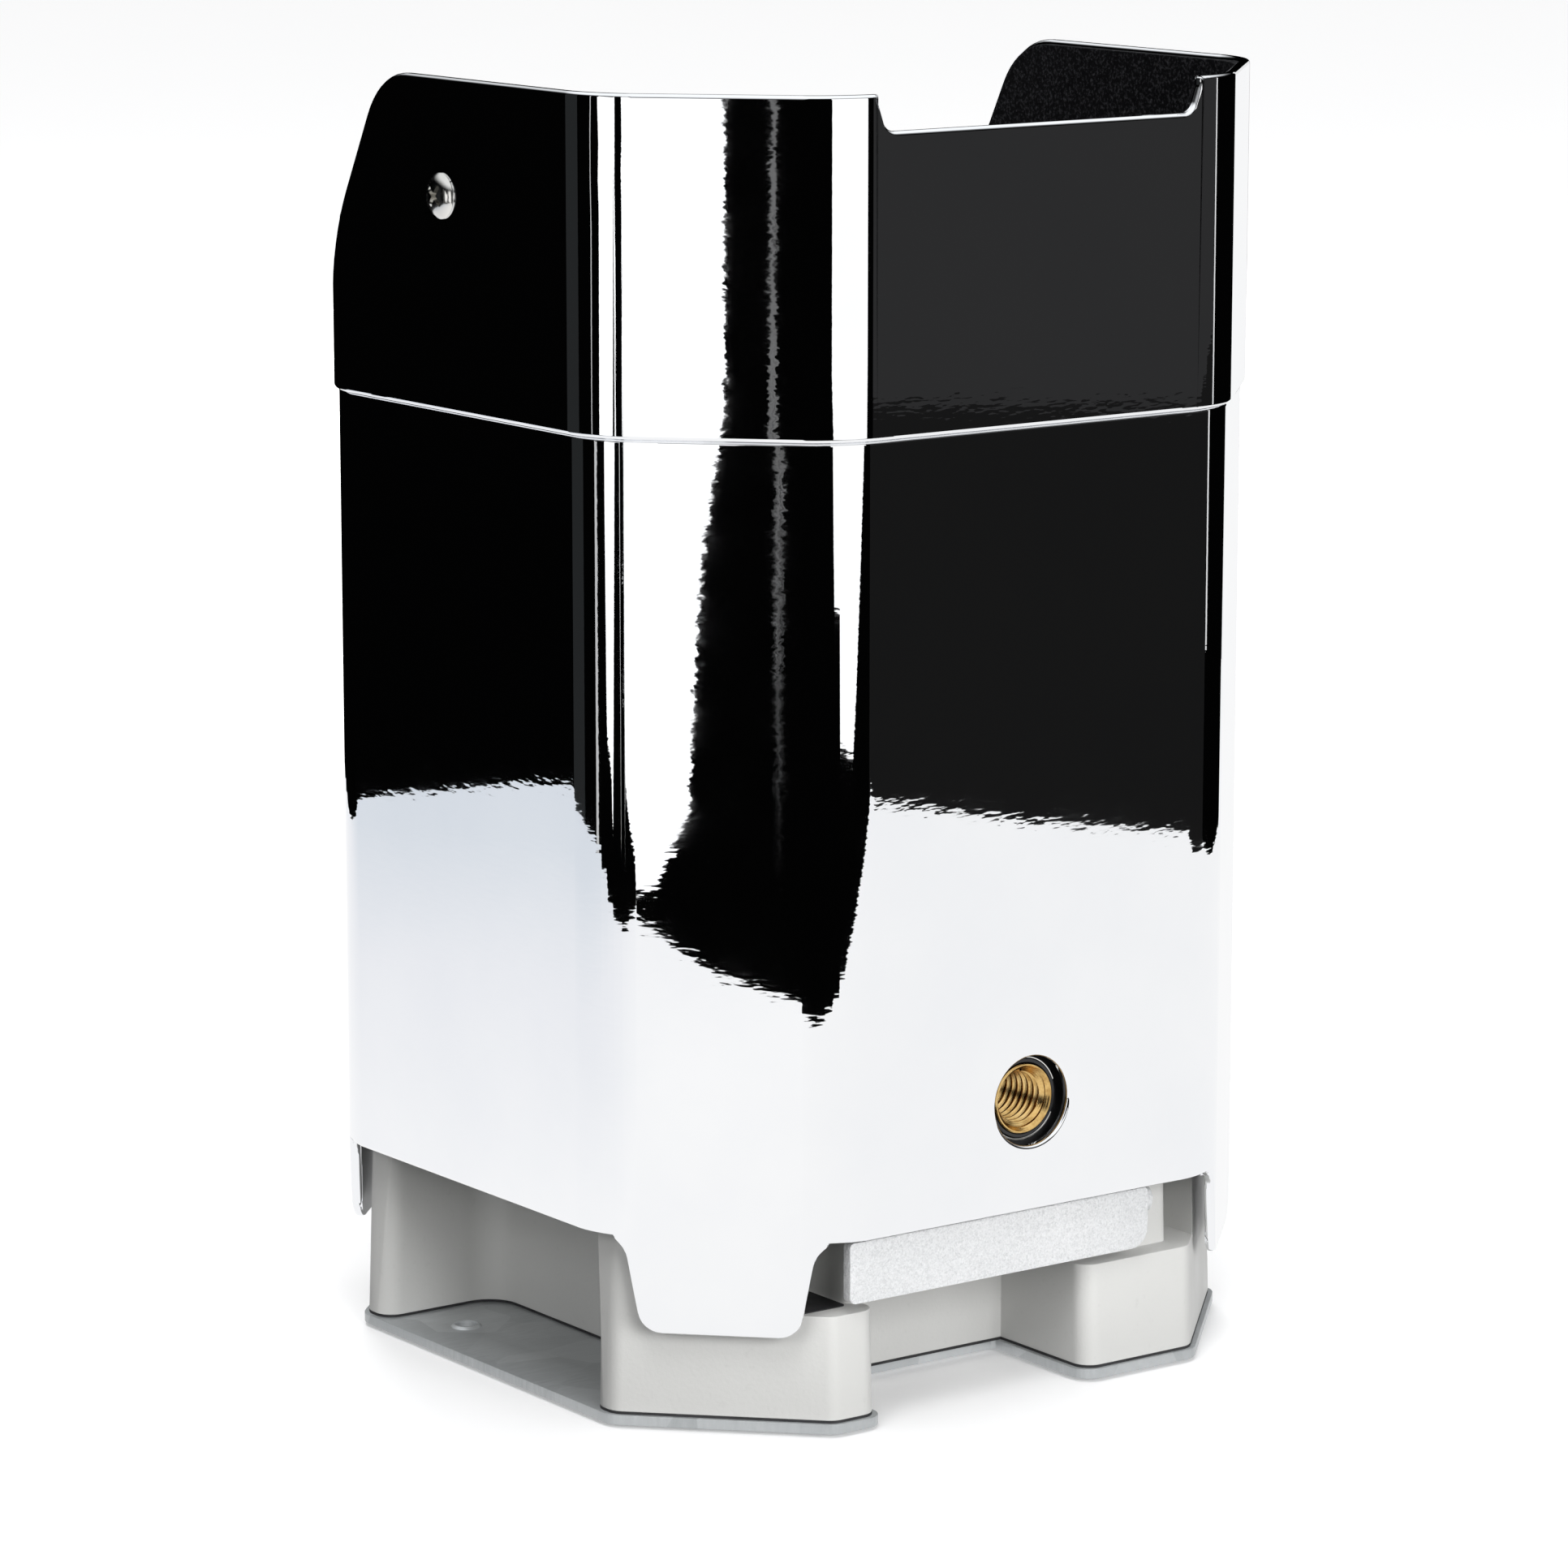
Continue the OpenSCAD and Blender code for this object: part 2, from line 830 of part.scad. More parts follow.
module spacer_pads() {
    gap = shell_in - lower_in;
    color([0.12, 0.12, 0.12])
        for (a = [0, 90, 180], z = [80, 170], y = [-28, 28])
            rotate([0, 0, a])
                block([shell_half, y - 9, z - 9], [shell_half + gap, y + 9, z + 9]);
    color([0.12, 0.12, 0.12])
        for (y = [-28, 28])
            rotate([0, 0, 270])
                block([shell_half, y - 9, 161], [shell_half + gap, y + 9, 179]);
}

module vent_plug() {
    color([0.2, 0.2, 0.2]) {
        cyl_y(5, shell_half - 4, shell_half + 0.5, vent_x, vent_z);
        cyl_y(7, shell_half, shell_half + 2.5, vent_x, vent_z);
    }
}

// ---------- drawing ----------

upper_cover();
lower_sleeve();
glare_liner();
cover_screws();
cover_nuts();
base_housing();
base_gasket();
bottom_plate();
bottom_screws();
rubber_feet();
body_shell();
thread_block();
brass_insert();
insert_collar();
hinge_ears();
hinge_pins();
front_flap();
switch_frame();
power_rocker();
charge_socket();
control_panel();
display_window();
button_board();
button_mode();
button_up();
button_down();
button_enter();
battery_tray();
battery_pack();
battery_strap();
main_board();
board_standoffs();
radio_module();
antenna();
led_lead();
heat_sink();
led_board();
led_emitters();
lenses();
lens_holder();
glass_gasket();
front_glass();
top_bezel();
bezel_screws();
spacer_pads();
vent_plug();
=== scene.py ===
"""Battery uplight in a bright two-part sleeve: finishes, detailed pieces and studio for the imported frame."""

import json
import math

import bmesh
import bpy
from mathutils import Matrix, Vector


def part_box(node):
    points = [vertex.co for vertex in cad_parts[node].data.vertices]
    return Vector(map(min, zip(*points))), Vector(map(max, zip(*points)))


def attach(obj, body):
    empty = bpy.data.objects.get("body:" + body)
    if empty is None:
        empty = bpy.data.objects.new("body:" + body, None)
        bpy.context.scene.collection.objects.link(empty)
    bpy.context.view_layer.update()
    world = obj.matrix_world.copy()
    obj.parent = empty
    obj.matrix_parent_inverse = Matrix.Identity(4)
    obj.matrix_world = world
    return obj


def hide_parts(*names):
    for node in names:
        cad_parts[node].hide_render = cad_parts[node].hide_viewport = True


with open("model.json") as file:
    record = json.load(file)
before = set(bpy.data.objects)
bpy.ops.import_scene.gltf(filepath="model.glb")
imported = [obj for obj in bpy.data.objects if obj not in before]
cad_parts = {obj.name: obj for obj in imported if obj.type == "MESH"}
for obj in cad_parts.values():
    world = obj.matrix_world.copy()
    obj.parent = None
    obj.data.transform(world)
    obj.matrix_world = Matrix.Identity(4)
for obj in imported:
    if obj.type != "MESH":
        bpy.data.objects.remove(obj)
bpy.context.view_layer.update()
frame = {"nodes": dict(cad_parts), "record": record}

MM = 0.001

# Sleeve, in metres
SLEEVE_HALF = 83.0 * MM
CORNER_LEG = 35.0 * MM
CORNER_RADIUS = 20.0 * MM
SLEEVE_WALL = 2.2 * MM
LOWER_INSET = 1.0 * MM
SEAM_Z = 199.5 * MM
WING_Z = 266.0 * MM
SKIRT_Z = 40.5 * MM
TAB_Z = 21.0 * MM
REAR_WALL_Z = 216.0 * MM
COVER_SCREW_Y = 4.0 * MM
COVER_SCREW_Z = 242.5 * MM

# Clamp thread
INSERT_Z = 63.0 * MM
INSERT_FACE_Y = -79.3 * MM
THREAD_PITCH = 1.75 * MM
ACCESS_HOLE_RADIUS = 9.2 * MM

# Base
BASE_HALF = 77.5 * MM
CORE_HALF = 49.4 * MM
BAY_HALF = 38.5 * MM
NOTCH_LEFT = -34.6 * MM
NOTCH_RIGHT = 18.0 * MM
FRONT_BLOCK_LEFT = -38.0 * MM
FRONT_BLOCK_RIGHT = 45.0 * MM
FRONT_WALL_Y = -71.8 * MM

# Places of the small parts
CORNERS = [(-1, -1), (-1, 1), (1, -1), (1, 1)]
LENS_X = LENS_Y = 26.0 * MM
BEZEL_SCREW_X, BEZEL_SCREW_Y = 64.0 * MM, 42.0 * MM
FOOT_X, FOOT_Y = 48.0 * MM, 56.0 * MM
DRAIN_X, DRAIN_Y, DRAIN_Z = 66.5 * MM, 24.5 * MM, 2.8 * MM
INLET_X, INLET_Z = 9.0 * MM, 31.5 * MM
EDGE_CUT = 0.75 * MM

# Studio: light levels, then lengths in millimetres, then the camera in metres and degrees
FLOOR_BOUNCE = 0.12
AIR_FILL = 0.11
STUDIO_HALF = 9000
CARD_TOP = 420
CARD_FOOT = 2
BACK_DROP_ENDS = [(4000, 3250), (4000, 2250)]
EYE_PLACE = (-0.7360, -1.0075, 0.3559)
EYE_DOWN = 10.93
EYE_LEFT = 36.08
LENS_LENGTH = 139.2


# ---------------------------------------------------------------- finishes


class Finish:
    """A procedural material on Object coordinates, with short calls for its usual nodes."""

    def __init__(self, name, roughness=0.5, metallic=0.0, **fixed):
        self.material = bpy.data.materials.new(name)
        self.material.use_nodes = True
        self.tree = self.material.node_tree
        self.shader = self.tree.nodes["Principled BSDF"]
        self.coords = self.tree.nodes.new("ShaderNodeTexCoord").outputs["Object"]
        self.shader.inputs["Roughness"].default_value = roughness
        self.shader.inputs["Metallic"].default_value = metallic
        for socket, value in fixed.items():
            self.shader.inputs[socket.replace("_", " ")].default_value = value

    def link(self, a, b):
        self.tree.links.new(a, b)

    def stretched(self, scale, move=(0, 0, 0)):
        """The Object coordinates scaled and moved for a directional pattern."""
        node = self.tree.nodes.new("ShaderNodeMapping")
        node.inputs["Scale"].default_value = scale
        node.inputs["Location"].default_value = move
        self.link(self.coords, node.inputs["Vector"])
        return node.outputs["Vector"]

    def noise(self, scale, detail=3.0, rough=0.5, coords=None, distortion=0.0):
        node = self.tree.nodes.new("ShaderNodeTexNoise")
        node.inputs["Scale"].default_value = scale
        node.inputs["Detail"].default_value = detail
        node.inputs["Roughness"].default_value = rough
        node.inputs["Distortion"].default_value = distortion
        self.link(coords or self.coords, node.inputs["Vector"])
        return node.outputs["Fac"]

    def cells(self, scale, output="Color"):
        node = self.tree.nodes.new("ShaderNodeTexVoronoi")
        node.inputs["Scale"].default_value = scale
        self.link(self.coords, node.inputs["Vector"])
        return node.outputs[output]

    def rings(self, scale, direction, coords=None):
        node = self.tree.nodes.new("ShaderNodeTexWave")
        node.wave_type = "RINGS"
        node.rings_direction = direction
        node.inputs["Scale"].default_value = scale
        self.link(coords or self.coords, node.inputs["Vector"])
        return node.outputs["Fac"]

    def spread(self, value, low, high, start=0.0, end=1.0):
        """Maps a value from start..end to low..high."""
        node = self.tree.nodes.new("ShaderNodeMapRange")
        node.inputs["From Min"].default_value = start
        node.inputs["From Max"].default_value = end
        node.inputs["To Min"].default_value = low
        node.inputs["To Max"].default_value = high
        self.link(value, node.inputs["Value"])
        return node.outputs["Result"]

    def ramp(self, value, *stops):
        """Colours along a value: each stop is (position, (r, g, b))."""
        node = self.tree.nodes.new("ShaderNodeValToRGB")
        points = node.color_ramp.elements
        while len(points) < len(stops):
            points.new(0.5)
        for point, (position, colour) in zip(points, stops):
            point.position = position
            point.color = (*colour, 1.0)
        self.link(value, node.inputs["Fac"])
        return node.outputs["Color"]

    def mixed(self, share, a, b):
        """Two colours or sockets mixed by a share socket."""
        node = self.tree.nodes.new("ShaderNodeMix")
        node.data_type = "RGBA"
        self.link(share, node.inputs[0])
        for socket, value in ((node.inputs[6], a), (node.inputs[7], b)):
            if isinstance(value, tuple):
                socket.default_value = (*value, 1.0)
            else:
                self.link(value, socket)
        return node.outputs[2]

    def colour(self, socket):
        self.link(socket, self.shader.inputs["Base Color"])
        return self

    def rough(self, socket):
        self.link(socket, self.shader.inputs["Roughness"])
        return self

    def bump(self, *layers):
        """Bump layers of (height socket, depth in metres), stacked."""
        normal = None
        for height, depth in layers:
            node = self.tree.nodes.new("ShaderNodeBump")
            node.inputs["Strength"].default_value = 1.0
            node.inputs["Distance"].default_value = depth
            self.link(height, node.inputs["Height"])
            if normal is not None:
                self.link(normal, node.inputs["Normal"])
            normal = node.outputs["Normal"]
        self.link(normal, self.shader.inputs["Normal"])
        return self


def bright_chrome():
    f = Finish("bright_chrome", metallic=1.0)
    smudge = f.noise(26, 4, 0.6)
    f.colour(f.ramp(smudge, (0.3, (0.90, 0.91, 0.93)), (0.75, (0.94, 0.945, 0.955))))
    f.rough(f.spread(f.noise(90, 5, 0.65), 0.008, 0.03, 0.35, 0.85))
    peel = f.noise(260, 1.5, 0.5, f.stretched((1.0, 1.0, 3.2)))
    return f.bump((f.noise(9, 1, 0.4), 4e-5), (peel, 4.8e-6)).material


def speckled_black():
    f = Finish("speckled_black", roughness=0.75, Specular_IOR_Level=0.12)
    f.colour(f.ramp(f.noise(1500, 2, 0.7), (0.5, (0.002, 0.002, 0.0025)), (0.8, (0.05, 0.05, 0.055))))
    f.rough(f.spread(f.noise(700, 2), 0.55, 0.9))
    return f.bump((f.noise(1300, 3, 0.7), 1.2e-4)).material


def powder_coat(name, pale, dark, pebble=5e-5, gloss=0.42):
    f = Finish(name, roughness=gloss)
    cloud = f.noise(14, 4, 0.55)
    body = f.ramp(cloud, (0.3, dark), (0.7, pale))
    dust = f.noise(420, 3, 0.7)
    f.colour(f.mixed(f.spread(dust, 0.0, 0.22, 0.62, 0.8), body, tuple(c * 0.72 for c in dark)))
    f.rough(f.spread(f.noise(60, 4), gloss - 0.08, gloss + 0.14, 0.3, 0.7))
    return f.bump((f.noise(950, 3, 0.6), pebble), (f.noise(45, 2), 1.2e-4)).material


def sparkling_silver():
    f = Finish("sparkling_silver", metallic=0.35)
    flake = f.cells(1500)
    fine = f.noise(2600, 2, 0.7)
    base = f.ramp(fine, (0.35, (0.56, 0.57, 0.58)), (0.5, (0.72, 0.73, 0.74)), (0.68, (0.90, 0.91, 0.92)))
    tone = f.ramp(f.noise(40, 3), (0.3, (0.80, 0.81, 0.82)), (0.7, (0.95, 0.95, 0.96)))
    f.colour(f.mixed(f.spread(flake, 0.15, 0.75), base, tone))
    f.rough(f.spread(flake, 0.28, 0.62))
    return f.bump((f.cells(1300, "Distance"), 9e-5), (f.noise(2200, 2), 5e-5)).material


def rubber(name, tone=(0.018, 0.018, 0.019)):
    f = Finish(name, roughness=0.8)
    light = tuple(c * 2.6 for c in tone)
    f.colour(f.ramp(f.noise(160, 5, 0.7), (0.35, tone), (0.8, light)))
    f.rough(f.spread(f.noise(90, 3), 0.65, 0.92))
    return f.bump((f.noise(900, 3), 6e-5)).material


def zinc_sheet():
    f = Finish("zinc_sheet", metallic=0.55)
    spangle = f.cells(70)
    fine = f.noise(200, 5, 0.7, f.stretched((1.0, 6.0, 1.0)))
    f.colour(
        f.mixed(
            f.spread(f.noise(30, 4, 0.6), 0.1, 0.7, 0.3, 0.7),
            f.ramp(spangle, (0.2, (0.40, 0.42, 0.43)), (0.8, (0.56, 0.58, 0.59))),
            f.ramp(fine, (0.3, (0.36, 0.38, 0.39)), (0.7, (0.58, 0.60, 0.61))),
        )
    )
    f.rough(f.spread(fine, 0.28, 0.5))
    return f.bump((fine, 1.5e-5), (f.noise(60, 2), 4e-5)).material


def plated_steel():
    f = Finish("plated_steel", metallic=1.0)
    turned = f.noise(900, 2, 0.6, f.stretched((5.0, 1.0, 1.0)))
    f.colour(f.ramp(f.noise(120, 4), (0.3, (0.66, 0.65, 0.62)), (0.75, (0.86, 0.85, 0.83))))
    f.rough(f.spread(turned, 0.08, 0.22))
    return f.bump((turned, 8e-6)).material


def turned_brass():
    f = Finish("turned_brass", metallic=1.0)
    lathe = f.rings(900, "Y", f.stretched((1, 1, 1), move=(0, 0, -INSERT_Z)))
    stain = f.noise(260, 4, 0.65)
    f.colour(
        f.ramp(stain, (0.3, (0.42, 0.24, 0.07)), (0.5, (0.78, 0.52, 0.20)), (0.75, (0.92, 0.68, 0.33)))
    )
    f.rough(f.spread(stain, 0.12, 0.3))
    return f.bump((lathe, 6e-6), (f.noise(700, 3), 1e-5)).material


def moulded(name, tone, gloss=0.4, grain=4e-5):
    f = Finish(name, roughness=gloss)
    worn = tuple(min(1.0, c * 1.35 + 0.01) for c in tone)
    f.colour(f.ramp(f.noise(70, 5, 0.6), (0.35, tone), (0.8, worn)))
    f.rough(f.spread(f.noise(240, 4, 0.6), gloss - 0.1, gloss + 0.15))
    return f.bump((f.noise(1600, 2), grain)).material


def cast_aluminium():
    f = Finish("cast_aluminium", metallic=1.0)
    saw = f.noise(160, 4, 0.7, f.stretched((1.0, 1.0, 14.0)))
    f.colour(f.ramp(saw, (0.3, (0.52, 0.53, 0.54)), (0.7, (0.76, 0.77, 0.78))))
    f.rough(f.spread(saw, 0.3, 0.55))
    return f.bump((saw, 3e-5), (f.noise(800, 3), 3e-5)).material


def circuit_board(name, mask, copper):
    f = Finish(name, roughness=0.35)
    brick = f.tree.nodes.new("ShaderNodeTexBrick")
    brick.inputs["Scale"].default_value = 220
    brick.inputs["Mortar Size"].default_value = 0.04
    brick.inputs["Color1"].default_value = (*mask, 1)
    brick.inputs["Color2"].default_value = (*tuple(c * 1.3 for c in mask), 1)
    brick.inputs["Mortar"].default_value = (*copper, 1)
    f.link(f.coords, brick.inputs["Vector"])
    pads = f.spread(f.cells(420, "Distance"), 1.0, 0.0, 0.1, 0.16)
    f.colour(f.mixed(pads, brick.outputs["Color"], (0.62, 0.60, 0.55)))
    f.rough(f.spread(f.noise(300), 0.25, 0.5))
    return f.bump((brick.outputs["Fac"], 2e-5)).material


def shrink_wrap():
    f = Finish("shrink_wrap", roughness=0.25)
    crease = f.noise(60, 6, 0.7, f.stretched((1.0, 4.0, 1.0)), 0.6)
    f.colour(f.ramp(crease, (0.3, (0.015, 0.06, 0.20)), (0.7, (0.04, 0.14, 0.42))))
    f.rough(f.spread(crease, 0.15, 0.4))
    return f.bump((crease, 2e-4)).material


def phosphor():
    f = Finish("phosphor", roughness=0.35)
    f.colour(f.ramp(f.noise(900, 3), (0.35, (0.78, 0.60, 0.10)), (0.7, (0.95, 0.82, 0.28))))
    f.rough(f.spread(f.noise(500), 0.25, 0.5))
    return f.bump((f.noise(1500, 3), 3e-5)).material


def clear_glass(name, tint, roughness, wave=1e-5, **fixed):
    f = Finish(name, Transmission_Weight=1.0, IOR=1.5, **fixed)
    f.colour(f.ramp(f.noise(8, 2), (0.3, tint), (0.7, tuple(min(1.0, c * 1.03) for c in tint))))
    f.rough(f.spread(f.noise(55, 5, 0.7), roughness, roughness + 0.06, 0.45, 0.85))
    return f.bump((f.noise(30, 2), wave)).material


def smoked_window():
    f = Finish("smoked_window", roughness=0.06)
    f.colour(f.ramp(f.noise(30, 4), (0.3, (0.008, 0.014, 0.02)), (0.7, (0.02, 0.032, 0.045))))
    f.rough(f.spread(f.noise(70, 5, 0.7), 0.03, 0.16, 0.4, 0.8))
    return f.bump((f.noise(25, 1), 1e-5)).material


CHROME = bright_chrome()
BLACK_LINER = speckled_black()
PALE_COAT = powder_coat("pale_coat", (0.635, 0.635, 0.62), (0.59, 0.59, 0.575))
DARK_COAT = powder_coat("dark_coat", (0.050, 0.050, 0.053), (0.032, 0.032, 0.034))
SILVER = sparkling_silver()
RUBBER = rubber("black_rubber")
ZINC = zinc_sheet()
STEEL = plated_steel()
BRASS = turned_brass()
BLACK_PLASTIC = moulded("black_plastic", (0.010, 0.010, 0.011), 0.32, 2e-5)
HOUSING_BLACK = moulded("housing_black", (0.014, 0.014, 0.015), 0.45)
ROCKER_RED = moulded("rocker_red_plastic", (0.42, 0.015, 0.012), 0.28, 1.5e-5)
BUTTON_GREY = moulded("button_grey_plastic", (0.30, 0.31, 0.32), 0.5)
WIRE_RED = moulded("wire_red", (0.32, 0.02, 0.015), 0.45)
ALUMINIUM = cast_aluminium()
GREEN_BOARD = circuit_board("green_board", (0.008, 0.075, 0.03), (0.03, 0.16, 0.07))
WHITE_BOARD = circuit_board("white_board", (0.72, 0.73, 0.71), (0.60, 0.61, 0.60))
WRAP = shrink_wrap()
PHOSPHOR = phosphor()
LENS = clear_glass("lens_clear", (0.95, 0.97, 0.98), 0.01)
PANE = clear_glass("pane_clear", (0.96, 0.985, 0.975), 0.0, 4e-6)
WINDOW = smoked_window()

CAD_FINISHES = {
    "screw_steel": STEEL,
    "base_grey": PALE_COAT,
    "gasket_rubber": RUBBER,
    "plate_zinc": ZINC,
    "body_dark": DARK_COAT,
    "cast_alu": ALUMINIUM,
    "insert_brass": BRASS,
    "collar_black": BLACK_PLASTIC,
    "flap_silver": SILVER,
    "switch_black": HOUSING_BLACK,
    "rocker_red": ROCKER_RED,
    "display_glass": WINDOW,
    "button_grey": BUTTON_GREY,
    "board_green": GREEN_BOARD,
    "board_white": WHITE_BOARD,
    "battery_wrap": WRAP,
    "module_can": STEEL,
    "lead_red": WIRE_RED,
    "emitter_yellow": PHOSPHOR,
    "lens_clear": LENS,
    "front_glass": PANE,
    "sleeve_chrome": CHROME,
    "liner_black": BLACK_LINER,
}
NODE_SLOT = {s["node"]: s["material_slot"] for s in frame["record"]["subparts"]}
NODE_BODY = {
    node: body for body, members in frame["record"]["behaviour"]["bodies"].items() for node in members
}

for node, slot in NODE_SLOT.items():
    mesh = frame["nodes"][node].data
    mesh.materials.clear()
    mesh.materials.append(CAD_FINISHES[slot])


# ---------------------------------------------------------------- mesh helpers


def new_object(name, bm, *materials):
    """An object at the origin with the shape as its mesh."""
    mesh = bpy.data.meshes.new(name)
    bm.to_mesh(mesh)
    bm.free()
    for material in materials:
        mesh.materials.append(material)
    made = bpy.data.objects.new(name, mesh)
    bpy.context.scene.collection.objects.link(made)
    return made


def finished(name, bm, node, material=None, smooth=35):
    """Makes the piece's object, smooth except at sharp edges, and lets it stand for its node."""
    piece = new_object(name, bm, material or CAD_FINISHES[NODE_SLOT[node]])
    for face in piece.data.polygons:
        face.use_smooth = True
    piece.data.set_sharp_from_angle(angle=math.radians(smooth))
    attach(piece, NODE_BODY[node])
    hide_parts(node)
    return piece


def sheet_piece(name, bm, node, thickness, edge):
    """Makes a sheet's object, gives it its wall inwards, and softens its cut edges."""
    bmesh.ops.remove_doubles(bm, verts=bm.verts, dist=0.1 * MM)
    piece = finished(name, bm, node)
    wall = piece.modifiers.new("wall", "SOLIDIFY")
    wall.thickness = thickness
    wall.offset = -1.0
    wall.use_even_offset = True
    soft = piece.modifiers.new("soft_edge", "BEVEL")
    soft.width = edge
    soft.segments = 4
    soft.limit_method = "ANGLE"
    soft.angle_limit = math.radians(50)
    soft.use_clamp_overlap = False
    soft.harden_normals = True
    flat = piece.modifiers.new("flat_faces", "WEIGHTED_NORMAL")
    flat.keep_sharp = True
    flat.weight = 50


def bevel(bm, edges, width, segments=3):
    bmesh.ops.bevel(
        bm,
        geom=edges,
        offset=width,
        offset_type="OFFSET",
        segments=segments,
        profile=0.5,
        affect="EDGES",
        material=-1,
        clamp_overlap=True,
    )


def sharp_edges(bm, angle=40):
    limit = math.radians(angle)
    return [e for e in bm.edges if len(e.link_faces) == 2 and e.calc_face_angle(0.0) > limit]


def merged_copy(node):
    """A clean, merged copy of a CAD node's mesh, with its flat faces whole."""
    bm = bmesh.new()
    bm.from_mesh(frame["nodes"][node].data)
    bmesh.ops.remove_doubles(bm, verts=bm.verts, dist=0.004 * MM)
    bmesh.ops.dissolve_limit(
        bm, angle_limit=math.radians(0.6), verts=bm.verts, edges=bm.edges, use_dissolve_boundaries=False
    )
    return bm


def softened(node, width, segments=2):
    """A CAD shape whose sharp edges are broken as a real one's are."""
    bm = merged_copy(node)
    bevel(bm, sharp_edges(bm), width, segments)
    finished(node + "_piece", bm, node)


def turned(profile, axis, steps):
    """A lathe shape round an axis through the origin, from (radius, distance along it) points."""
    bm = bmesh.new()
    direction = Vector({"X": (1, 0, 0), "Y": (0, 1, 0), "Z": (0, 0, 1)}[axis])
    outward = Vector((0, 0, 1)) if axis != "Z" else Vector((1, 0, 0))
    points = [bm.verts.new(outward * r + direction * d) for r, d in profile]
    for a, b in zip(points, points[1:]):
        bm.edges.new((a, b))
    bmesh.ops.spin(
        bm,
        geom=bm.verts[:] + bm.edges[:],
        cent=(0, 0, 0),
        axis=direction,
        dvec=(0, 0, 0),
        angle=math.tau,
        steps=steps,
        use_merge=True,
    )
    bmesh.ops.remove_doubles(bm, verts=bm.verts, dist=0.002 * MM)
    bmesh.ops.recalc_face_normals(bm, faces=bm.faces)
    return bm


def join(target, source):
    """Adds one bmesh to another."""
    mesh = bpy.data.meshes.new("joining")
    source.to_mesh(mesh)
    source.free()
    target.from_mesh(mesh)
    bpy.data.meshes.remove(mesh)
    return target


def place_mm(bm, place, side=1):
    """Turns a shape drawn in millimetres into metres at its place, mirrored where side is -1."""
    bmesh.ops.scale(bm, vec=(side * MM, MM, MM), verts=bm.verts)
    bmesh.ops.translate(bm, vec=place, verts=bm.verts)


def carved(bm, cutter):
    """The shape with the cutter's shape taken out of it."""
    shape, tool = new_object("work", bm), new_object("work", cutter)
    cut = shape.modifiers.new("cut", "BOOLEAN")
    cut.operation = "DIFFERENCE"
    cut.solver = "EXACT"
    cut.object = tool
    result = bmesh.new()
    result.from_mesh(shape.evaluated_get(bpy.context.evaluated_depsgraph_get()).to_mesh())
    for work in (shape, tool):
        mesh = work.data
        bpy.data.objects.remove(work)
        bpy.data.meshes.remove(mesh)
    return result


def box_shape(low, high):
    bm = bmesh.new()
    bmesh.ops.create_cube(bm, size=1.0)
    low, high = Vector(low), Vector(high)
    bmesh.ops.scale(bm, vec=high - low, verts=bm.verts)
    bmesh.ops.translate(bm, vec=(low + high) / 2, verts=bm.verts)
    return bm


# ---------------------------------------------------------------- sleeve


def tower_sheet(inset, low, high, steps=10):
    """The open eight-sided tube of the sleeve, with round vertical edges, set in by inset."""
    half = SLEEVE_HALF - inset
    bm = box_shape((-half, -half, low), (half, half, high))
    upright = [e for e in bm.edges if abs(e.verts[0].co.z - e.verts[1].co.z) > MM]
    bevel(bm, upright, CORNER_LEG - inset * (2 - math.sqrt(2)), 1)
    upright = [e for e in bm.edges if abs(e.verts[0].co.z - e.verts[1].co.z) > MM]
    radius = max(CORNER_RADIUS - inset, 2 * MM)
    bevel(bm, upright, radius * math.tan(math.radians(22.5)), steps)
    caps = [f for f in bm.faces if abs(f.normal.z) > 0.5]
    bmesh.ops.delete(bm, geom=caps, context="FACES")
    return bm


def slice_at(bm, faces, point, normal):
    edges = {e for f in faces for e in f.edges}
    verts = {v for f in faces for v in f.verts}
    bmesh.ops.bisect_plane(
        bm, geom=list(verts) + list(edges) + list(faces), dist=0.0005 * MM, plane_co=point, plane_no=normal
    )


def trim(bm, along, line, chosen, keep_below=True):
    """Trims the chosen faces to a line of (distance along, height) points."""
    along = Vector(along)
    rise = Vector((0, 0, 1))
    for distance, _ in line:
        slice_at(bm, [f for f in bm.faces if chosen(f)], along * distance, along)
    for (d0, z0), (d1, z1) in zip(line, line[1:]):
        slab = [
            f
            for f in bm.faces
            if chosen(f) and min(d0, d1) < f.calc_center_median().dot(along) < max(d0, d1)
        ]
        if slab:
            slice_at(bm, slab, along * d0 + rise * z0, along * (z0 - z1) + rise * (d1 - d0))

    def height(distance):
        for (d0, z0), (d1, z1) in zip(line, line[1:]):
            if d0 <= distance <= d1:
                return z0 + (z1 - z0) * (distance - d0) / max(d1 - d0, 1e-9)
        return None

    spare = []
    for face in bm.faces:
        if not chosen(face):
            continue
        centre = face.calc_center_median()
        limit = height(centre.dot(along))
        if limit is not None and (centre.z > limit) == keep_below:
            spare.append(face)
    bmesh.ops.delete(bm, geom=spare, context="FACES")


def rounded_line(corners, steps=7):
    """A line through (distance, height, radius) corners with their roundings."""
    line = []
    for i, (x, z, radius) in enumerate(corners):
        if radius == 0 or i in (0, len(corners) - 1):
            line.append((x, z))
            continue
        corner = Vector((x, z))
        before = (Vector(corners[i - 1][:2]) - corner).normalized()
        after = (Vector(corners[i + 1][:2]) - corner).normalized()
        half = before.angle(after) / 2
        reach = radius / math.tan(half)
        middle = corner + (before + after).normalized() * radius / math.sin(half)
        start, end = corner + before * reach - middle, corner + after * reach - middle
        turn = start.angle_signed(end)
        for k in range(steps + 1):
            spoke = start.copy()
            spoke.rotate(Matrix.Rotation(-turn * k / steps, 2))
            line.append(tuple(middle + spoke))
    return line


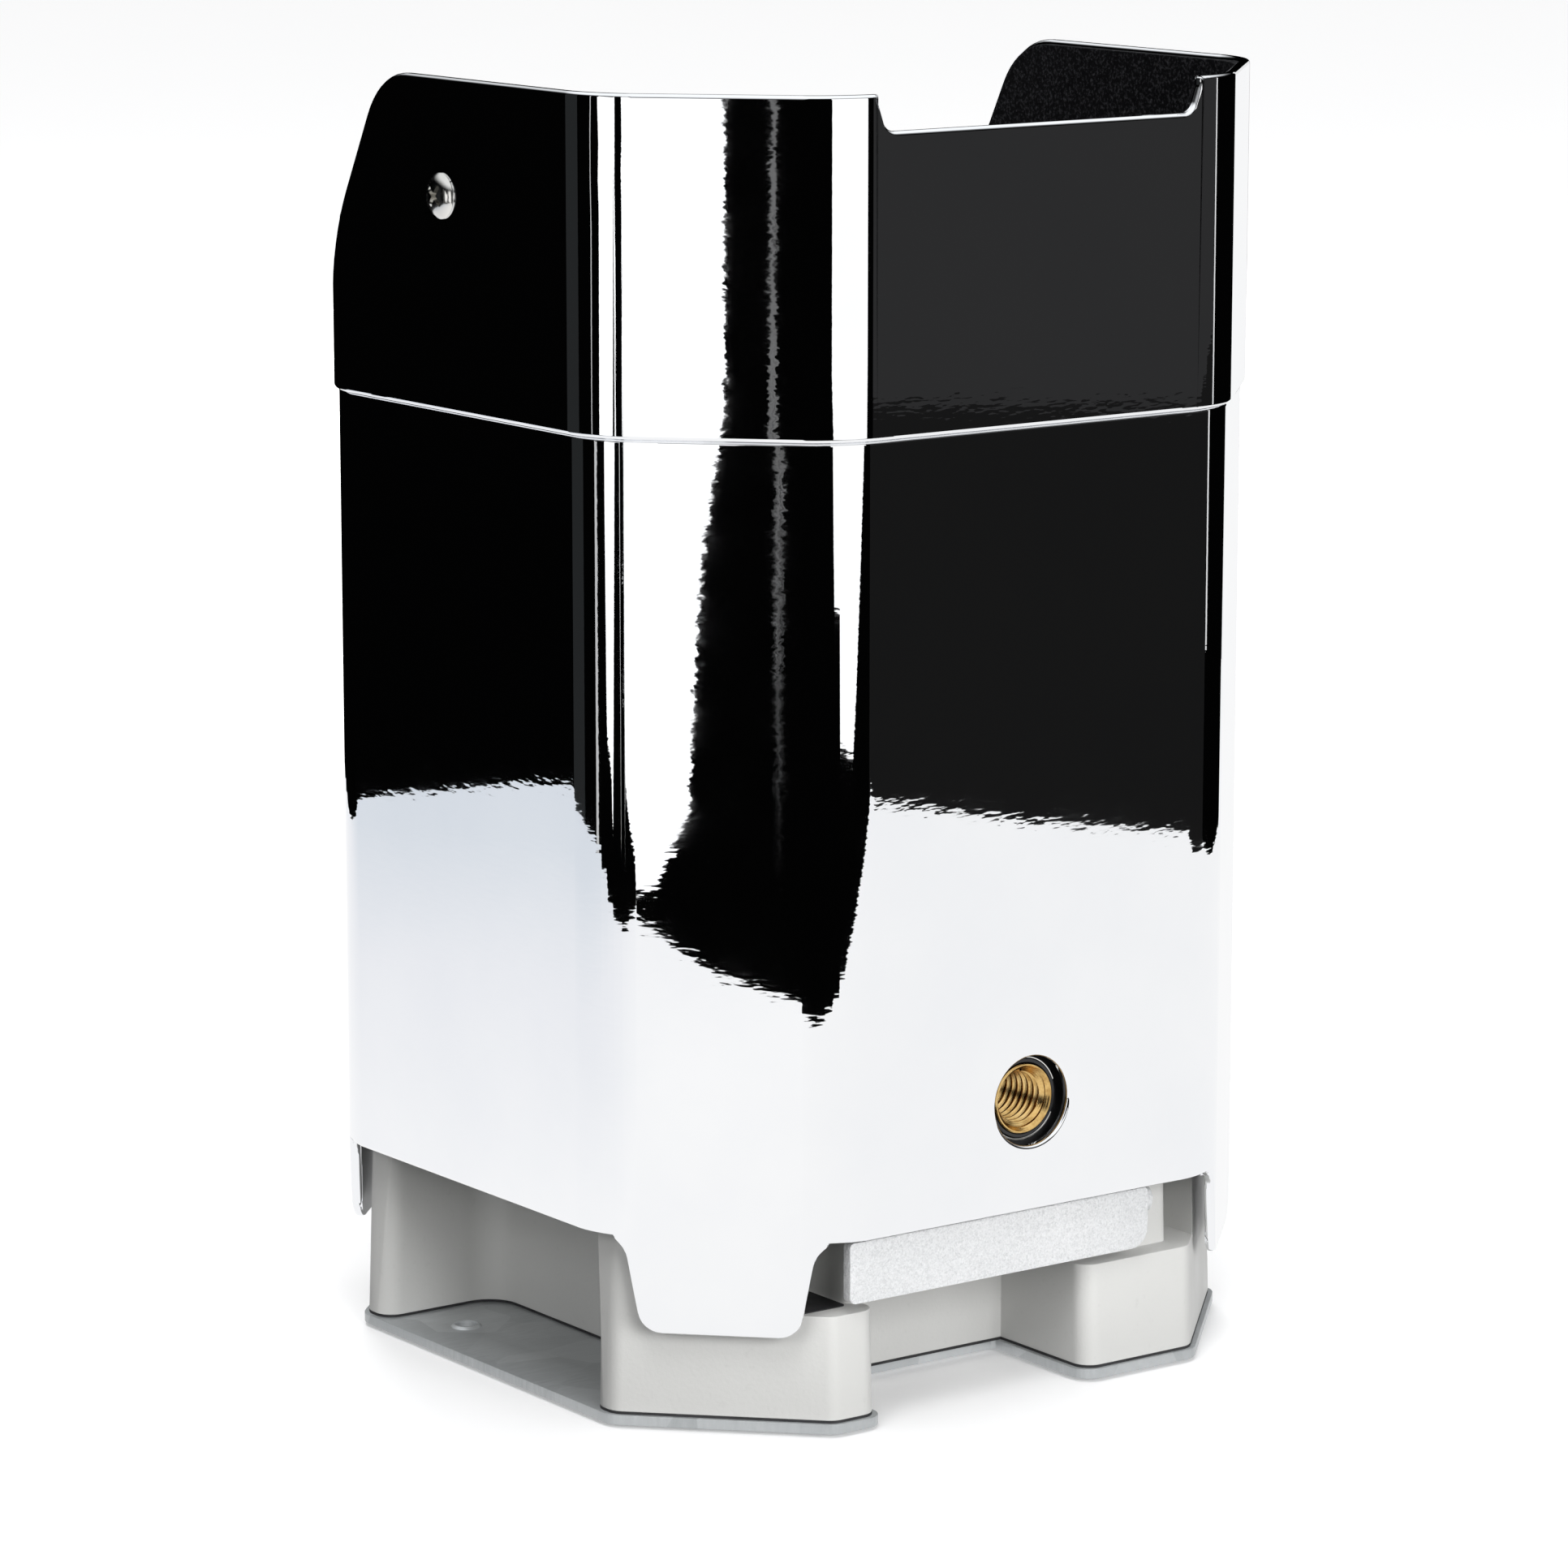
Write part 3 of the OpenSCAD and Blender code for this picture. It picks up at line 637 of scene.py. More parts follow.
def wing_line(drop):
    low_y = 26.5 + (WING_Z - REAR_WALL_Z) / MM / 1.85
    top, low = WING_Z / MM - drop, REAR_WALL_Z / MM - drop
    line = rounded_line([(-100, top, 0), (26.5, top, 16.5), (low_y, low, 12), (100, low, 0)], 9)
    return [(y * MM, z * MM) for y, z in line]


def notch_line(drop):
    top = WING_Z / MM - drop
    low = top - 7.2
    line = rounded_line(
        [(-48, top, 0), (-40.5, top, 2.5), (-38, low, 3.2), (38, low, 3.2), (40.5, top, 2.5), (48, top, 0)]
    )
    return [(x * MM, z * MM) for x, z in line]


def trim_cover(bm, drop=0.0):
    trim(bm, (0, 1, 0), wing_line(drop), lambda f: True)
    trim(bm, (1, 0, 0), notch_line(drop), lambda f: f.calc_center_median().y < -70 * MM)


def ring_patch(bm, centre, normal_axis, radius, half):
    """Cuts a round hole into a flat wall, with a ring of faces round it."""
    centre = Vector(centre)
    sideways = Vector((1, 0, 0)) if normal_axis == "Y" else Vector((0, 1, 0))
    wall = Vector((0, 1, 0)) if normal_axis == "Y" else Vector((1, 0, 0))

    def near(face):
        offset = face.calc_center_median() - centre
        return abs(offset.dot(wall)) < 2 * MM and abs(offset.dot(sideways)) < 60 * MM

    for direction in (sideways, Vector((0, 0, 1))):
        for side in (-half, half):
            slice_at(bm, [f for f in bm.faces if near(f)], centre + direction * side, direction)
    inside = [
        f
        for f in bm.faces
        if near(f)
        and abs((f.calc_center_median() - centre).dot(sideways)) < half
        and abs(f.calc_center_median().z - centre.z) < half
    ]
    bmesh.ops.dissolve_faces(bm, faces=inside)
    patch = min(bm.faces, key=lambda f: (f.calc_center_median() - centre).length)
    corners = [
        v
        for v in patch.verts
        if abs(abs((v.co - centre).dot(sideways)) - half) < 0.01 * MM
        and abs(abs(v.co.z - centre.z) - half) < 0.01 * MM
    ]
    spare = [v for v in patch.verts if v not in corners]
    bmesh.ops.dissolve_verts(bm, verts=spare)
    patch = min(bm.faces, key=lambda f: (f.calc_center_median() - centre).length)
    rim = list(patch.edges)
    bmesh.ops.delete(bm, geom=[patch], context="FACES_ONLY")
    bmesh.ops.subdivide_edges(bm, edges=rim, cuts=15)
    square = [
        e
        for e in bm.edges
        if e.is_boundary
        and all(
            max(abs((v.co - centre).dot(sideways)), abs(v.co.z - centre.z)) < half + 0.01 * MM
            and abs((v.co - centre).dot(wall)) < 2 * MM
            for v in e.verts
        )
    ]
    turn = Matrix.Rotation(math.radians(90), 4, "X" if normal_axis == "Y" else "Y")
    circle = bmesh.ops.create_circle(
        bm, cap_ends=False, radius=radius, segments=64, matrix=Matrix.Translation(centre) @ turn
    )["verts"]
    hole = list({e for v in circle for e in v.link_edges})
    bmesh.ops.bridge_loops(bm, edges=square + hole)
    bmesh.ops.recalc_face_normals(bm, faces=bm.faces)


def upper_cover():
    bm = tower_sheet(0.0, SEAM_Z, WING_Z + 4 * MM)
    trim_cover(bm)
    for side in (-1, 1):
        ring_patch(bm, (side * SLEEVE_HALF, COVER_SCREW_Y, COVER_SCREW_Z), "X", 2.1 * MM, 7 * MM)
    sheet_piece("upper_cover_shell", bm, "upper_cover", SLEEVE_WALL, EDGE_CUT)


def tab_line():
    skirt, foot = SKIRT_Z / MM, TAB_Z / MM
    left = [(-30, skirt, 0), (-19.6, skirt, 6), (-15.8, foot, 5)]
    corners = left + [(-u, z, radius) for u, z, radius in left[::-1]]
    return [(u * MM, z * MM) for u, z in rounded_line(corners, 8)]


def lower_sleeve():
    bm = tower_sheet(LOWER_INSET, TAB_Z - 5 * MM, SEAM_Z)
    for angle in (45, 135, 225, 315):
        turn = math.radians(angle)
        outward = Vector((math.cos(turn), math.sin(turn), 0))
        along = Vector((-math.sin(turn), math.cos(turn), 0))
        trim(
            bm,
            along,
            tab_line(),
            lambda f, outward=outward: f.calc_center_median().dot(outward) > 88 * MM,
            keep_below=False,
        )
    slice_at(bm, list(bm.faces), (0, 0, SKIRT_Z), (0, 0, 1))
    low = [
        f
        for f in bm.faces
        if f.calc_center_median().z < SKIRT_Z
        and min(abs(f.calc_center_median().x), abs(f.calc_center_median().y)) < 49 * MM
    ]
    bmesh.ops.delete(bm, geom=low, context="FACES")
    ring_patch(bm, (0, -SLEEVE_HALF + LOWER_INSET, INSERT_Z), "Y", ACCESS_HOLE_RADIUS, 13 * MM)
    sheet_piece("lower_sleeve_shell", bm, "lower_sleeve", SLEEVE_WALL, EDGE_CUT)
    spigot = tower_sheet(SLEEVE_WALL + 0.1 * MM, SEAM_Z - 8 * MM, SEAM_Z + 8 * MM)
    sheet_piece("lower_sleeve_spigot", spigot, "lower_sleeve", 1.8 * MM, 0.2 * MM)


def glare_liner():
    bm = tower_sheet(SLEEVE_WALL, 213 * MM, WING_Z + 4 * MM)
    trim_cover(bm, 1.0)
    for side in (-1, 1):
        ring_patch(
            bm, (side * (SLEEVE_HALF - SLEEVE_WALL), COVER_SCREW_Y, COVER_SCREW_Z), "X", 2.1 * MM, 7 * MM
        )
    sheet_piece("glare_liner_sheet", bm, "glare_liner", 1.0 * MM, 0.2 * MM)


def cover_screws():
    """Domed screws with a cross recess in each head."""
    both = bmesh.new()
    for side in (-1, 1):
        head = turned(
            [(0, 1.9), (1.5, 1.84), (2.8, 1.58), (3.8, 1.1), (4.4, 0.55), (4.6, 0.25), (4.5, 0.0), (2.1, 0.0),
             (2.1, -9.0), (0, -9.6)],
            "X",
            48,
        )
        for turn in (38, -52):
            slot = box_shape((0.35, -2.9, -0.52), (2.2, 2.9, 0.52))
            floor = [v for v in slot.verts if v.co.x < 1]
            bmesh.ops.scale(slot, vec=(1, 0.45, 0.55), verts=floor)
            lie = Matrix.Rotation(math.radians(turn), 3, "X")
            bmesh.ops.rotate(slot, cent=(0, 0, 0), matrix=lie, verts=slot.verts)
            head = carved(head, slot)
        place_mm(head, (side * SLEEVE_HALF, COVER_SCREW_Y, COVER_SCREW_Z), side)
        bmesh.ops.recalc_face_normals(head, faces=head.faces)
        join(both, head)
    finished("cover_screw_heads", both, "cover_screws", smooth=30)


def brass_insert():
    """The insert with a real thread, a countersunk mouth and a broken outer edge."""
    turns, per_turn = 8, 56
    start = INSERT_FACE_Y + 0.35 * MM
    bm = bmesh.new()
    tooth = [(6.0, 0.0), (6.0, 0.22), (5.12, 0.74), (5.1, 0.9), (5.12, 1.06), (6.0, 1.56), (6.0, 1.75)]
    points = [bm.verts.new((0, start + d * MM, INSERT_Z + r * MM)) for r, d in tooth]
    for a, b in zip(points, points[1:]):
        bm.edges.new((a, b))
    bmesh.ops.spin(
        bm,
        geom=bm.verts[:] + bm.edges[:],
        cent=(0, 0, INSERT_Z),
        axis=(0, 1, 0),
        dvec=(0, THREAD_PITCH / per_turn, 0),
        angle=math.tau * turns,
        steps=per_turn * turns,
        use_merge=False,
    )
    bmesh.ops.remove_doubles(bm, verts=bm.verts, dist=0.01 * MM)
    mouth, narrowing = 6.75, 0.95
    for v in bm.verts:
        inward = (v.co.y - INSERT_FACE_Y) / MM
        radial = Vector((v.co.x, 0, v.co.z - INSERT_Z))
        widest = mouth - inward * narrowing
        if radial.length < widest * MM:
            radial = radial.normalized() * widest * MM
            v.co.x, v.co.z = radial.x, INSERT_Z + radial.z
    bmesh.ops.recalc_face_normals(bm, faces=bm.faces)
    probe = bm.faces[:][len(bm.faces) // 2]
    inward_facing = Vector((probe.calc_center_median().x, 0, probe.calc_center_median().z - INSERT_Z))
    if probe.normal.dot(inward_facing) > 0:
        bmesh.ops.reverse_faces(bm, faces=bm.faces)
    body = turned(
        [(0, 16.0), (6.05, 16.0), (6.05, 0.78), (6.75, 0.0), (7.0, 0.0), (7.2, 0.2), (7.2, 19.3), (0, 19.3)],
        "Y",
        72,
    )
    place_mm(body, (0, INSERT_FACE_Y, INSERT_Z))
    join(bm, body)
    finished("clamp_insert", bm, "brass_insert", smooth=25)


def insert_collar():
    """The black collar with a groove, and the open snap ring that holds it."""
    length = 3.4
    bm = turned(
        [(7.2, length), (7.2, 0.35), (7.45, 0.0), (8.0, 0.0), (8.15, 0.45), (8.5, 0.5), (8.62, 0.85),
         (8.9, 1.0), (8.9, length), (7.2, length)],
        "Y",
        72,
    )
    place_mm(bm, (0, INSERT_FACE_Y + 0.4 * MM, INSERT_Z))
    finished("insert_collar_ring", bm, "insert_collar", smooth=40)
    wire = bmesh.new()
    circle = bmesh.ops.create_circle(
        wire,
        cap_ends=False,
        radius=0.28 * MM,
        segments=12,
        matrix=Matrix.Translation((0, INSERT_FACE_Y + 0.85 * MM, INSERT_Z + 8.42 * MM))
        @ Matrix.Rotation(math.radians(90), 4, "Y"),
    )["verts"]
    bmesh.ops.spin(
        wire,
        geom=circle + list({e for v in circle for e in v.link_edges}),
        cent=(0, 0, INSERT_Z),
        axis=(0, 1, 0),
        dvec=(0, 0, 0),
        angle=math.radians(312),
        steps=90,
        use_merge=False,
    )
    bmesh.ops.holes_fill(wire, edges=[e for e in wire.edges if e.is_boundary], sides=0)
    bmesh.ops.rotate(
        wire, cent=(0, 0, INSERT_Z), matrix=Matrix.Rotation(math.radians(118), 3, "Y"), verts=wire.verts
    )
    bmesh.ops.recalc_face_normals(wire, faces=wire.faces)
    finished("insert_snap_ring", wire, "insert_collar", STEEL, smooth=60)


# ---------------------------------------------------------------- base


def upright_edges_at(bm, places, reach=0.4 * MM):
    """Vertical edges that stand at one of the (x, y) places."""
    found = []
    for edge in bm.edges:
        a, b = edge.verts[0].co, edge.verts[1].co
        if (a.xy - b.xy).length > 0.05 * MM:
            continue
        if any(abs(a.x - x) < reach and abs(a.y - y) < reach for x, y in places):
            found.append(edge)
    return found


def round_base_corners(bm):
    """Rounds the upright corners of the four feet, of the bays and of the block behind the flap."""
    pods = [(sx * BASE_HALF, sy * BAY_HALF) for sx, sy in CORNERS]
    pods += [(NOTCH_LEFT, -BASE_HALF), (NOTCH_RIGHT, -BASE_HALF)]
    bays = [(sx * CORE_HALF, sy * BAY_HALF) for sx, sy in CORNERS]
    block = [(FRONT_BLOCK_RIGHT, FRONT_WALL_Y), (FRONT_BLOCK_LEFT, FRONT_WALL_Y)]
    bevel(bm, upright_edges_at(bm, pods), 4.0 * MM, 8)
    bevel(bm, upright_edges_at(bm, bays), 7.0 * MM, 8)
    bevel(bm, upright_edges_at(bm, block), 2.2 * MM, 6)


def base_housing():
    """The pale base, rounded, and drawn in a little towards the top as a casting is."""
    bm = merged_copy("base_housing")
    round_base_corners(bm)
    bevel(bm, sharp_edges(bm, 60), 0.8 * MM, 3)
    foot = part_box("base_housing")[0].z
    for v in bm.verts:
        slope = math.tan(math.radians(2.2)) * (v.co.z - foot)
        for k in (0, 1):
            if abs(v.co[k]) > 66 * MM:
                v.co[k] -= math.copysign(slope, v.co[k])
    finished("base_shell", bm, "base_housing", smooth=28)


def base_gasket():
    bm = merged_copy("base_gasket")
    round_base_corners(bm)
    finished("base_gasket_line", bm, "base_gasket", smooth=28)


def bottom_plate():
    """The sheet bottom, with a broken edge and a pressed lip round each drain hole."""
    bm = merged_copy("bottom_plate")
    left, right = NOTCH_LEFT + MM, NOTCH_RIGHT - MM
    mouth, back = -BASE_HALF - MM, -CORE_HALF + MM
    bevel(bm, upright_edges_at(bm, [(left, mouth), (right, mouth)]), 4.5 * MM, 8)
    bevel(bm, upright_edges_at(bm, [(left, back), (right, back)]), 1 * MM, 3)
    bevel(bm, sharp_edges(bm, 60), 0.35 * MM, 3)
    for side in (-1, 1):
        lip = turned(
            [(2.2, 0.0), (2.2, 0.45), (2.4, 0.62), (2.75, 0.55), (3.2, 0.12), (3.3, -0.05)], "Z", 36
        )
        place_mm(lip, (side * DRAIN_X, DRAIN_Y, DRAIN_Z))
        join(bm, lip)
    finished("bottom_sheet", bm, "bottom_plate", smooth=28)


def rubber_feet():
    """Round feet with a soft edge and a dished middle."""
    bm = bmesh.new()
    for sx, sy in CORNERS:
        foot = turned(
            [(0, 0.8), (9.0, 0.8), (9.0, 0.3), (8.7, 0.05), (8.3, 0.0), (5.0, 0.0), (4.6, 0.2), (0, 0.25)],
            "Z",
            48,
        )
        place_mm(foot, (sx * FOOT_X, sy * FOOT_Y, 0))
        join(bm, foot)
    finished("rubber_foot_pads", bm, "rubber_feet", smooth=40)


def front_flap():
    bm = merged_copy("front_flap")
    bevel(bm, sharp_edges(bm, 60), 0.45 * MM, 3)
    finished("front_flap_plate", bm, "front_flap", smooth=30)


def ledge_shade_pad():
    """A thin black pad in the rubber finish on the left ledge, under the end of the flap: painted shade, a
    dark sheet standing in for the shade that falls there.
    """
    bm = box_shape((-50.8 * MM, -71.4 * MM, 24.4 * MM), (-38.6 * MM, -55.0 * MM, 24.75 * MM))
    bevel(bm, [e for e in bm.edges if abs(e.verts[0].co.z - e.verts[1].co.z) > 0.1 * MM], 1.0 * MM, 4)
    bevel(bm, sharp_edges(bm, 60), 0.1 * MM, 2)
    # painted shade: the black pad darkens the ledge where the flap and sleeve shade it
    pad = new_object("left_ledge_shade_pad", bm, RUBBER)
    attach(pad, "light")


# ---------------------------------------------------------------- light head and controls


def lens_cups():
    """Four clear lenses with stepped faces over the emitters."""
    bm = bmesh.new()
    low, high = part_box("lenses")
    z0, z1 = low.z / MM, high.z / MM
    steps = range(1, 9)
    top = [(0, z1 - 1.6)]
    for k in steps:
        top += [(k * 2.1, z1 - 1.6 + k * 0.16), (k * 2.1 + 0.25, z1 - 1.9 + k * 0.16)]
    profile = [(0, z0 + 2.0), (5.5, z0 + 1.4), (8, z0), (9, z0 + 0.6)]
    profile += [(9 + k * 1.25, z0 + 0.6 + (z1 - 2 - z0 - 0.6) * (k / 8) ** 1.5) for k in steps]
    profile += [(19, z1 - 0.4), (18.6, z1)] + top[::-1]
    for sx, sy in CORNERS:
        cup = turned(profile, "Z", 48)
        place_mm(cup, (sx * LENS_X, sy * LENS_Y, 0))
        join(bm, cup)
    finished("lens_cups", bm, "lenses", smooth=25)


def emitter_chips():
    """Each emitter is a package with a phosphor dome."""
    bm = bmesh.new()
    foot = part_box("led_emitters")[0].z
    lid = foot + 1.1 * MM
    for sx, sy in CORNERS:
        chip = box_shape((-4 * MM, -4 * MM, foot), (4 * MM, 4 * MM, lid))
        bevel(chip, chip.edges[:], 0.25 * MM, 2)
        dome = turned([(0, 1.1), (1.4, 0.95), (2.5, 0.55), (3.1, 0.0), (3.1, -0.4), (0, -0.4)], "Z", 32)
        place_mm(dome, (0, 0, lid))
        join(chip, dome)
        bmesh.ops.translate(chip, vec=(sx * LENS_X, sy * LENS_Y, 0), verts=chip.verts)
        join(bm, chip)
    finished("emitter_chips", bm, "led_emitters", smooth=35)


def bezel_screws():
    """Pan-head screws with a hexagon socket."""
    bm = bmesh.new()
    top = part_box("bezel_screws")[1].z
    for sx, sy in CORNERS:
        head = turned(
            [(0, 0.0), (1.1, -0.05), (2.2, -0.35), (2.85, -0.9), (3.0, -1.5), (3.0, -1.8), (1.6, -1.8),
             (1.6, -12.0), (0, -12.3)],
            "Z",
            32,
        )
        socket = bmesh.new()
        bmesh.ops.create_cone(socket, cap_ends=True, radius1=1.15, radius2=1.15, depth=2.4, segments=6)
        head = carved(head, socket)
        place_mm(head, (sx * BEZEL_SCREW_X, sy * BEZEL_SCREW_Y, top))
        join(bm, head)
    finished("bezel_screw_heads", bm, "bezel_screws", smooth=30)


def menu_button(node):
    """A round button with a dished face and a soft edge."""
    low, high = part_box(node)
    centre = (low + high) / 2
    reach = (high.x - low.x) / MM
    bm = turned(
        [(0, reach - 0.35), (1.6, reach - 0.28), (2.6, reach - 0.06), (3.0, reach), (3.25, reach - 0.12),
         (3.4, reach - 0.45), (3.4, 1.1), (4.1, 1.1), (4.1, 0.4), (1.2, 0.4), (1.2, 0.0), (0, 0.0)],
        "X",
        48,
    )
    place_mm(bm, (low.x, centre.y, centre.z))
    finished(node + "_cap", bm, node, smooth=35)


def charge_socket():
    """The round inlet with a flange, a bore and its centre pin."""
    bm = turned(
        [(2.75, -0.75), (2.95, -1.0), (5.1, -1.0), (5.5, -0.7), (5.5, 0.0), (3.9, 0.0), (3.9, 12.0),
         (0, 12.0), (0, 9.0), (2.75, 9.0), (2.75, -0.75)],
        "Y",
        56,
    )
    join(bm, turned([(0, 0.0), (0.7, 0.1), (1.0, 0.5), (1.0, 9.2), (0, 9.2)], "Y", 24))
    place_mm(bm, (INLET_X, FRONT_WALL_Y, INLET_Z))
    finished("charge_inlet", bm, "charge_socket", smooth=35)


upper_cover()
lower_sleeve()
glare_liner()
cover_screws()
brass_insert()
insert_collar()
base_housing()
base_gasket()
bottom_plate()
rubber_feet()
front_flap()
ledge_shade_pad()
lens_cups()
emitter_chips()
bezel_screws()
charge_socket()
for button in ("button_mode", "button_up", "button_down", "button_enter"):
    menu_button(button)
for node, width, segments in (
    ("hinge_ears", 0.4, 2),
    ("switch_frame", 0.35, 2),
    ("power_rocker", 0.3, 2),
    ("control_panel", 0.4, 2),
    ("display_window", 0.3, 2),
    ("top_bezel", 0.5, 3),
    ("front_glass", 0.4, 2),
    ("cover_nuts", 0.35, 2),
    ("lens_holder", 0.3, 2),
):
    softened(node, width * MM, segments)


# ---------------------------------------------------------------- studio


def glow(name, strength, tint=(1.0, 1.0, 1.0)):
    material = bpy.data.materials.new(name)
    material.use_nodes = True
    tree = material.node_tree
    tree.nodes.clear()
    light = tree.nodes.new("ShaderNodeEmission")
    light.inputs["Color"].default_value = (*tint, 1.0)
    light.inputs["Strength"].default_value = strength
    tree.links.new(light.outputs["Emission"], tree.nodes.new("ShaderNodeOutputMaterial").inputs["Surface"])
    return material


def studio_sheet(name, points, material):
    """A flat stage sheet through the given points in millimetres."""
    bm = bmesh.new()
    bmesh.ops.contextual_create(bm, geom=[bm.verts.new(Vector(p) * MM) for p in points])
    sheet = new_object(name, bm, material)
    return sheet


def only_mirrored(sheet):
    """Lets a sheet show in shiny metal and nowhere else."""
    sheet.visible_camera = False
    sheet.visible_diffuse = False
    sheet.visible_shadow = False
    sheet.visible_transmission = False
    sheet.visible_volume_scatter = False


def reflector(name, points, strength, tint=(1.0, 1.0, 1.0)):
    only_mirrored(studio_sheet(name, points, glow(name + "_light", strength, tint)))


def card_point(angle, distance, side, height):
    """A point on a card square to an angle from the front towards the left."""
    turn = math.radians(angle)
    forward = Vector((-math.sin(turn), -math.cos(turn), 0))
    across = Vector((-math.cos(turn), math.sin(turn), 0))
    return tuple(forward * distance + across * side + Vector((0, 0, height)))


def studio_paper():
    """Pale paper that stays even far from the light; it bounces less into the base than it shows."""
    paper = Finish("studio_paper", roughness=0.95)
    tree = paper.tree
    paper.colour(paper.ramp(paper.noise(3, 3), (0.3, (0.90, 0.90, 0.905)), (0.7, (0.92, 0.92, 0.925))))
    paper.shader.inputs["Emission Color"].default_value = (1.0, 1.0, 1.0, 1.0)
    reach = tree.nodes.new("ShaderNodeVectorMath")
    reach.operation = "LENGTH"
    paper.link(paper.coords, reach.inputs[0])
    lift = paper.spread(reach.outputs["Value"], 0.12, 0.8, 0.12, 0.6)
    paper.link(lift, paper.shader.inputs["Emission Strength"])
    rays = tree.nodes.new("ShaderNodeLightPath")
    bounce = tree.nodes.new("ShaderNodeBsdfDiffuse")
    bounce.inputs["Color"].default_value = (FLOOR_BOUNCE, FLOOR_BOUNCE, FLOOR_BOUNCE, 1.0)
    choice = tree.nodes.new("ShaderNodeMixShader")
    paper.link(rays.outputs["Is Camera Ray"], choice.inputs[0])
    paper.link(bounce.outputs[0], choice.inputs[1])
    paper.link(paper.shader.outputs[0], choice.inputs[2])
    paper.link(choice.outputs[0], tree.nodes["Material Output"].inputs["Surface"])
    return paper.material


def table_paper():
    """The table as the shiny sleeve mirrors it, a little bluer far off to the left."""
    paper = Finish("table_paper")
    tree = paper.tree
    tree.nodes.remove(paper.shader)
    slant = tree.nodes.new("ShaderNodeVectorMath")
    slant.operation = "DOT_PRODUCT"
    slant.inputs[1].default_value = (-1.0, 0.6, 0.0)
    paper.link(paper.coords, slant.inputs[0])
    light = tree.nodes.new("ShaderNodeEmission")
    share = paper.spread(slant.outputs["Value"], 0.0, 1.0, -0.75, 0.85)
    shades = ((0.0, (0.95, 0.953, 0.957)), (0.5, (0.98, 0.98, 0.98)), (0.58, (1.0, 1.0, 1.0)),
              (0.77, (0.88, 0.89, 0.92)), (0.89, (0.74, 0.78, 0.83)), (1.0, (0.71, 0.75, 0.81)))
    paper.link(paper.ramp(share, *shades), light.inputs["Color"])
    paper.link(light.outputs[0], tree.nodes["Material Output"].inputs["Surface"])
    return paper.material


def floor_and_table():
    """The floor that is seen, and the smaller table whose edge the sleeve mirrors."""
    half = STUDIO_HALF
    corners = [(-half, -half, 0), (half, -half, 0), (half, half, 0), (-half, half, 0)]
    studio_sheet("studio_floor", corners, studio_paper()).visible_glossy = False
    left_rear = [(-300, 560), (-450, 530), (-473, 500), (-500, 454)]
    left = [(-590, 330), (-650, 150), (-640, 40), (-575, -60), (-530, -180), (-512, -290)]
    cut_corner = [(-500, -338), (-407, -307), (-361, -305), (-322, -335), (-255, -380), (-150, -450)]
    front = [(60, -600), (280, -680), (355, -603), (372, -559), (401, -515), (450, -440), (560, -250)]
    way_to_rear_right = [(600, 120), BACK_DROP_ENDS[1], BACK_DROP_ENDS[0], (640, 620)]
    rear = [(420, 600), (60, 640)]
    edge = left_rear + left + cut_corner + front + way_to_rear_right + rear
    only_mirrored(studio_sheet("studio_table", [(x, y, 0.1) for x, y in edge], table_paper()))


def uneven_edge(side, reach):
    """A cloth edge that hangs in small waves, from the bottom up."""
    steps = 60
    heights = [CARD_FOOT + (CARD_TOP - CARD_FOOT) * k / steps for k in range(steps + 1)]
    waves = [(math.sin(h / 6.1) + 0.7 * math.sin(h / 2.7 + 1.3)) / 1.7 for h in heights]
    return [(side + reach * wave, h) for wave, h in zip(waves, heights)]


def square_card(name, angle, distance, sides, heights, strength, tint=(1.0, 1.0, 1.0)):
    """A rectangular card square to an angle."""
    (left, right), (foot, top) = sides, heights
    outline = ((left, foot), (right, foot), (right, top), (left, top))
    reflector(name, [card_point(angle, distance, *point) for point in outline], strength, tint)


def left_cards():
    """The white cloth mirrored in the cut corner, with a cable before it, and what the left wall mirrors."""

    def on_card(points):
        return [card_point(54, 600, side, height) for side, height in points]

    foot = [(-12, CARD_TOP), (-12, 136), (-9.5, 127), (-5, 95), (-1.4, 26), (8, 4), (17.2, 2)]
    reflector("left_softbox", on_card(foot + uneven_edge(160, 9)), 1.25)
    far_side = [(330, 2), (420, 30), (470, 90), (470, CARD_TOP)]
    reflector("left_softbox_side", on_card(uneven_edge(250, 12)[::-1] + far_side), 1.25)
    reflector("lamp_cable", on_card(uneven_edge(-27, 1.2) + uneven_edge(-26, 1.2)[::-1]), 0.16)
    square_card("left_line", 99, 700, (-5, 5), (-60, CARD_TOP), 0.55)
    square_card("left_grey", 127, 900, (-190, 160), (-60, CARD_TOP), 0.02, (0.9, 0.97, 1.0))


def right_cards():
    """The white card beside the light, and the faint greys that the front wall mirrors."""
    a, b = Vector((-205, -549, 0)), Vector((130, -586, 0))
    outline = [(0.0, CARD_TOP), (0.0, 150), (0.1, 105), (0.3, 50), (0.6, 45), (0.8, 95), (1.0, 150)]
    outline.append((1.0, CARD_TOP))
    reflector("right_softbox", [tuple(a + (b - a) * s + Vector((0, 0, z))) for s, z in outline], 1.1)
    square_card("right_line", -68, 900, (-14, 14), (10, CARD_TOP), 0.8)
    grey = [(-700, 52), (420, 40), (420, 520), (-700, 520)]
    reflector("right_grey", [card_point(-40, 1300, *point) for point in grey], 0.027, (0.98, 0.98, 1.0))
    square_card("right_grey_low", -40, 1310, (-700, 420), (-400, 60), 0.009)
    (near_x, near_y), (far_x, far_y) = BACK_DROP_ENDS
    top = 1500
    drop = [(near_x, near_y, 0), (far_x, far_y, 0), (far_x, far_y, top), (near_x, near_y, top)]
    reflector("right_back_drop", drop, 0.85)


